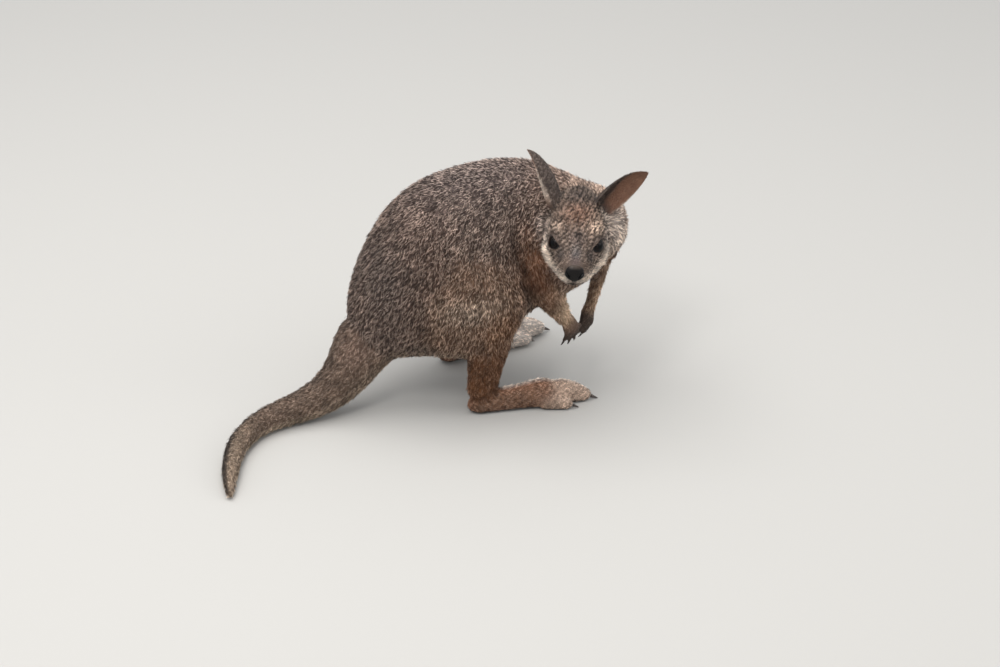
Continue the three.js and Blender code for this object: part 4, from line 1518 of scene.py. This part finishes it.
class WALLABY_OT_skin(bpy.types.Operator):
    """Merge the flesh into one skin and work the face into it"""

    bl_idname = "wallaby.skin"
    bl_label = "Skin"

    def execute(self, context):
        skin = build_skin(context.scene.wallaby_skin)
        skin.data.materials.append(fur_finish("hide", HIDE_GAIN, 0.75, True))
        settle(skin, "coat_flank", *FLESH)
        return {"FINISHED"}


class WALLABY_OT_eyes(bpy.types.Operator):
    """Make the two eyeballs"""

    bl_idname = "wallaby.eyes"
    bl_label = "Eyes"

    def execute(self, context):
        for name, side in SIDES.items():
            settle(build_eye(name, side), "eye", f"eye_{name}")
        return {"FINISHED"}


class WALLABY_OT_nose(bpy.types.Operator):
    """Make the nose pad with its nostrils"""

    bl_idname = "wallaby.nose"
    bl_label = "Nose"

    def execute(self, context):
        nose = build_nose(context.scene.wallaby_face)
        nose.data.materials.append(nose_finish())
        settle(nose, "nose_skin", "nose")
        return {"FINISHED"}


class WALLABY_OT_claws(bpy.types.Operator):
    """Make the claws of the four paws"""

    bl_idname = "wallaby.claws"
    bl_label = "Claws"

    def execute(self, context):
        horn = claw_finish(context.scene.wallaby_face.claw)
        for side in SIDES:
            for paw in ("hand", "foot"):
                nodes = [n for n in CLAWS if n.endswith(side) and n.startswith("hand") == (paw == "hand")]
                claws = build_claws(f"claws_{paw}_{side}", nodes)
                claws.data.materials.append(horn)
                settle(claws, "claw", *nodes)
        return {"FINISHED"}


class WALLABY_OT_coat(bpy.types.Operator):
    """Grow the coat on the skin, one piece for each part of the body"""

    bl_idname = "wallaby.coat"
    bl_label = "Coat"

    def execute(self, context):
        fur = fur_finish("fur", FUR_GAIN, 0.6)
        for name, (_, slot) in COATS.items():
            piece = grow(bpy.data.objects["skin"], name, context.scene.wallaby_coat)
            piece.data.materials.append(fur)
            settle(piece, slot)
        return {"FINISHED"}


class WALLABY_OT_whiskers(bpy.types.Operator):
    """Add the whiskers and the lashes"""

    bl_idname = "wallaby.whiskers"
    bl_label = "Whiskers"

    def execute(self, context):
        skin = bpy.data.objects["skin"]
        for piece, hue in ((build_whiskers(skin), WHISKER_HUE), (build_lashes(), LASH_HUE)):
            piece.data.materials.append(hair_finish(piece.name, tone(hue)))
            settle(piece, "coat_face")
        return {"FINISHED"}


class WALLABY_PT_panel(bpy.types.Panel):
    """The wallaby's settings and the buttons that make it"""

    bl_label = "Wallaby"
    bl_idname = "WALLABY_PT_panel"
    bl_space_type = "VIEW_3D"
    bl_region_type = "UI"
    bl_category = "Wallaby"

    def draw(self, context):
        for name, group in SETTINGS.items():
            box = self.layout.box()
            for key in group.__annotations__:
                box.prop(getattr(context.scene, name), key)
        for operator in OPERATORS:
            self.layout.operator(operator.bl_idname)


SETTINGS = {
    "wallaby_skin": WallabySkin,
    "wallaby_coat": WallabyCoat,
    "wallaby_face": WallabyFace,
    "wallaby_stage": WallabyStage,
}
OPERATORS = (
    WALLABY_OT_stage,
    WALLABY_OT_skin,
    WALLABY_OT_eyes,
    WALLABY_OT_nose,
    WALLABY_OT_claws,
    WALLABY_OT_coat,
    WALLABY_OT_whiskers,
)


def register():
    for name, group in SETTINGS.items():
        bpy.utils.register_class(group)
        setattr(bpy.types.Scene, name, PointerProperty(type=group))
    for cls in (*OPERATORS, WALLABY_PT_panel):
        bpy.utils.register_class(cls)


def unregister():
    for cls in (WALLABY_PT_panel, *reversed(OPERATORS)):
        bpy.utils.unregister_class(cls)
    for name, group in SETTINGS.items():
        delattr(bpy.types.Scene, name)
        bpy.utils.unregister_class(group)


def main():
    register()
    bpy.ops.wallaby.stage()
    bpy.ops.wallaby.skin()
    bpy.ops.wallaby.eyes()
    bpy.ops.wallaby.nose()
    bpy.ops.wallaby.claws()
    bpy.ops.wallaby.coat()
    bpy.ops.wallaby.whiskers()


if __name__ == "__main__":
    main()
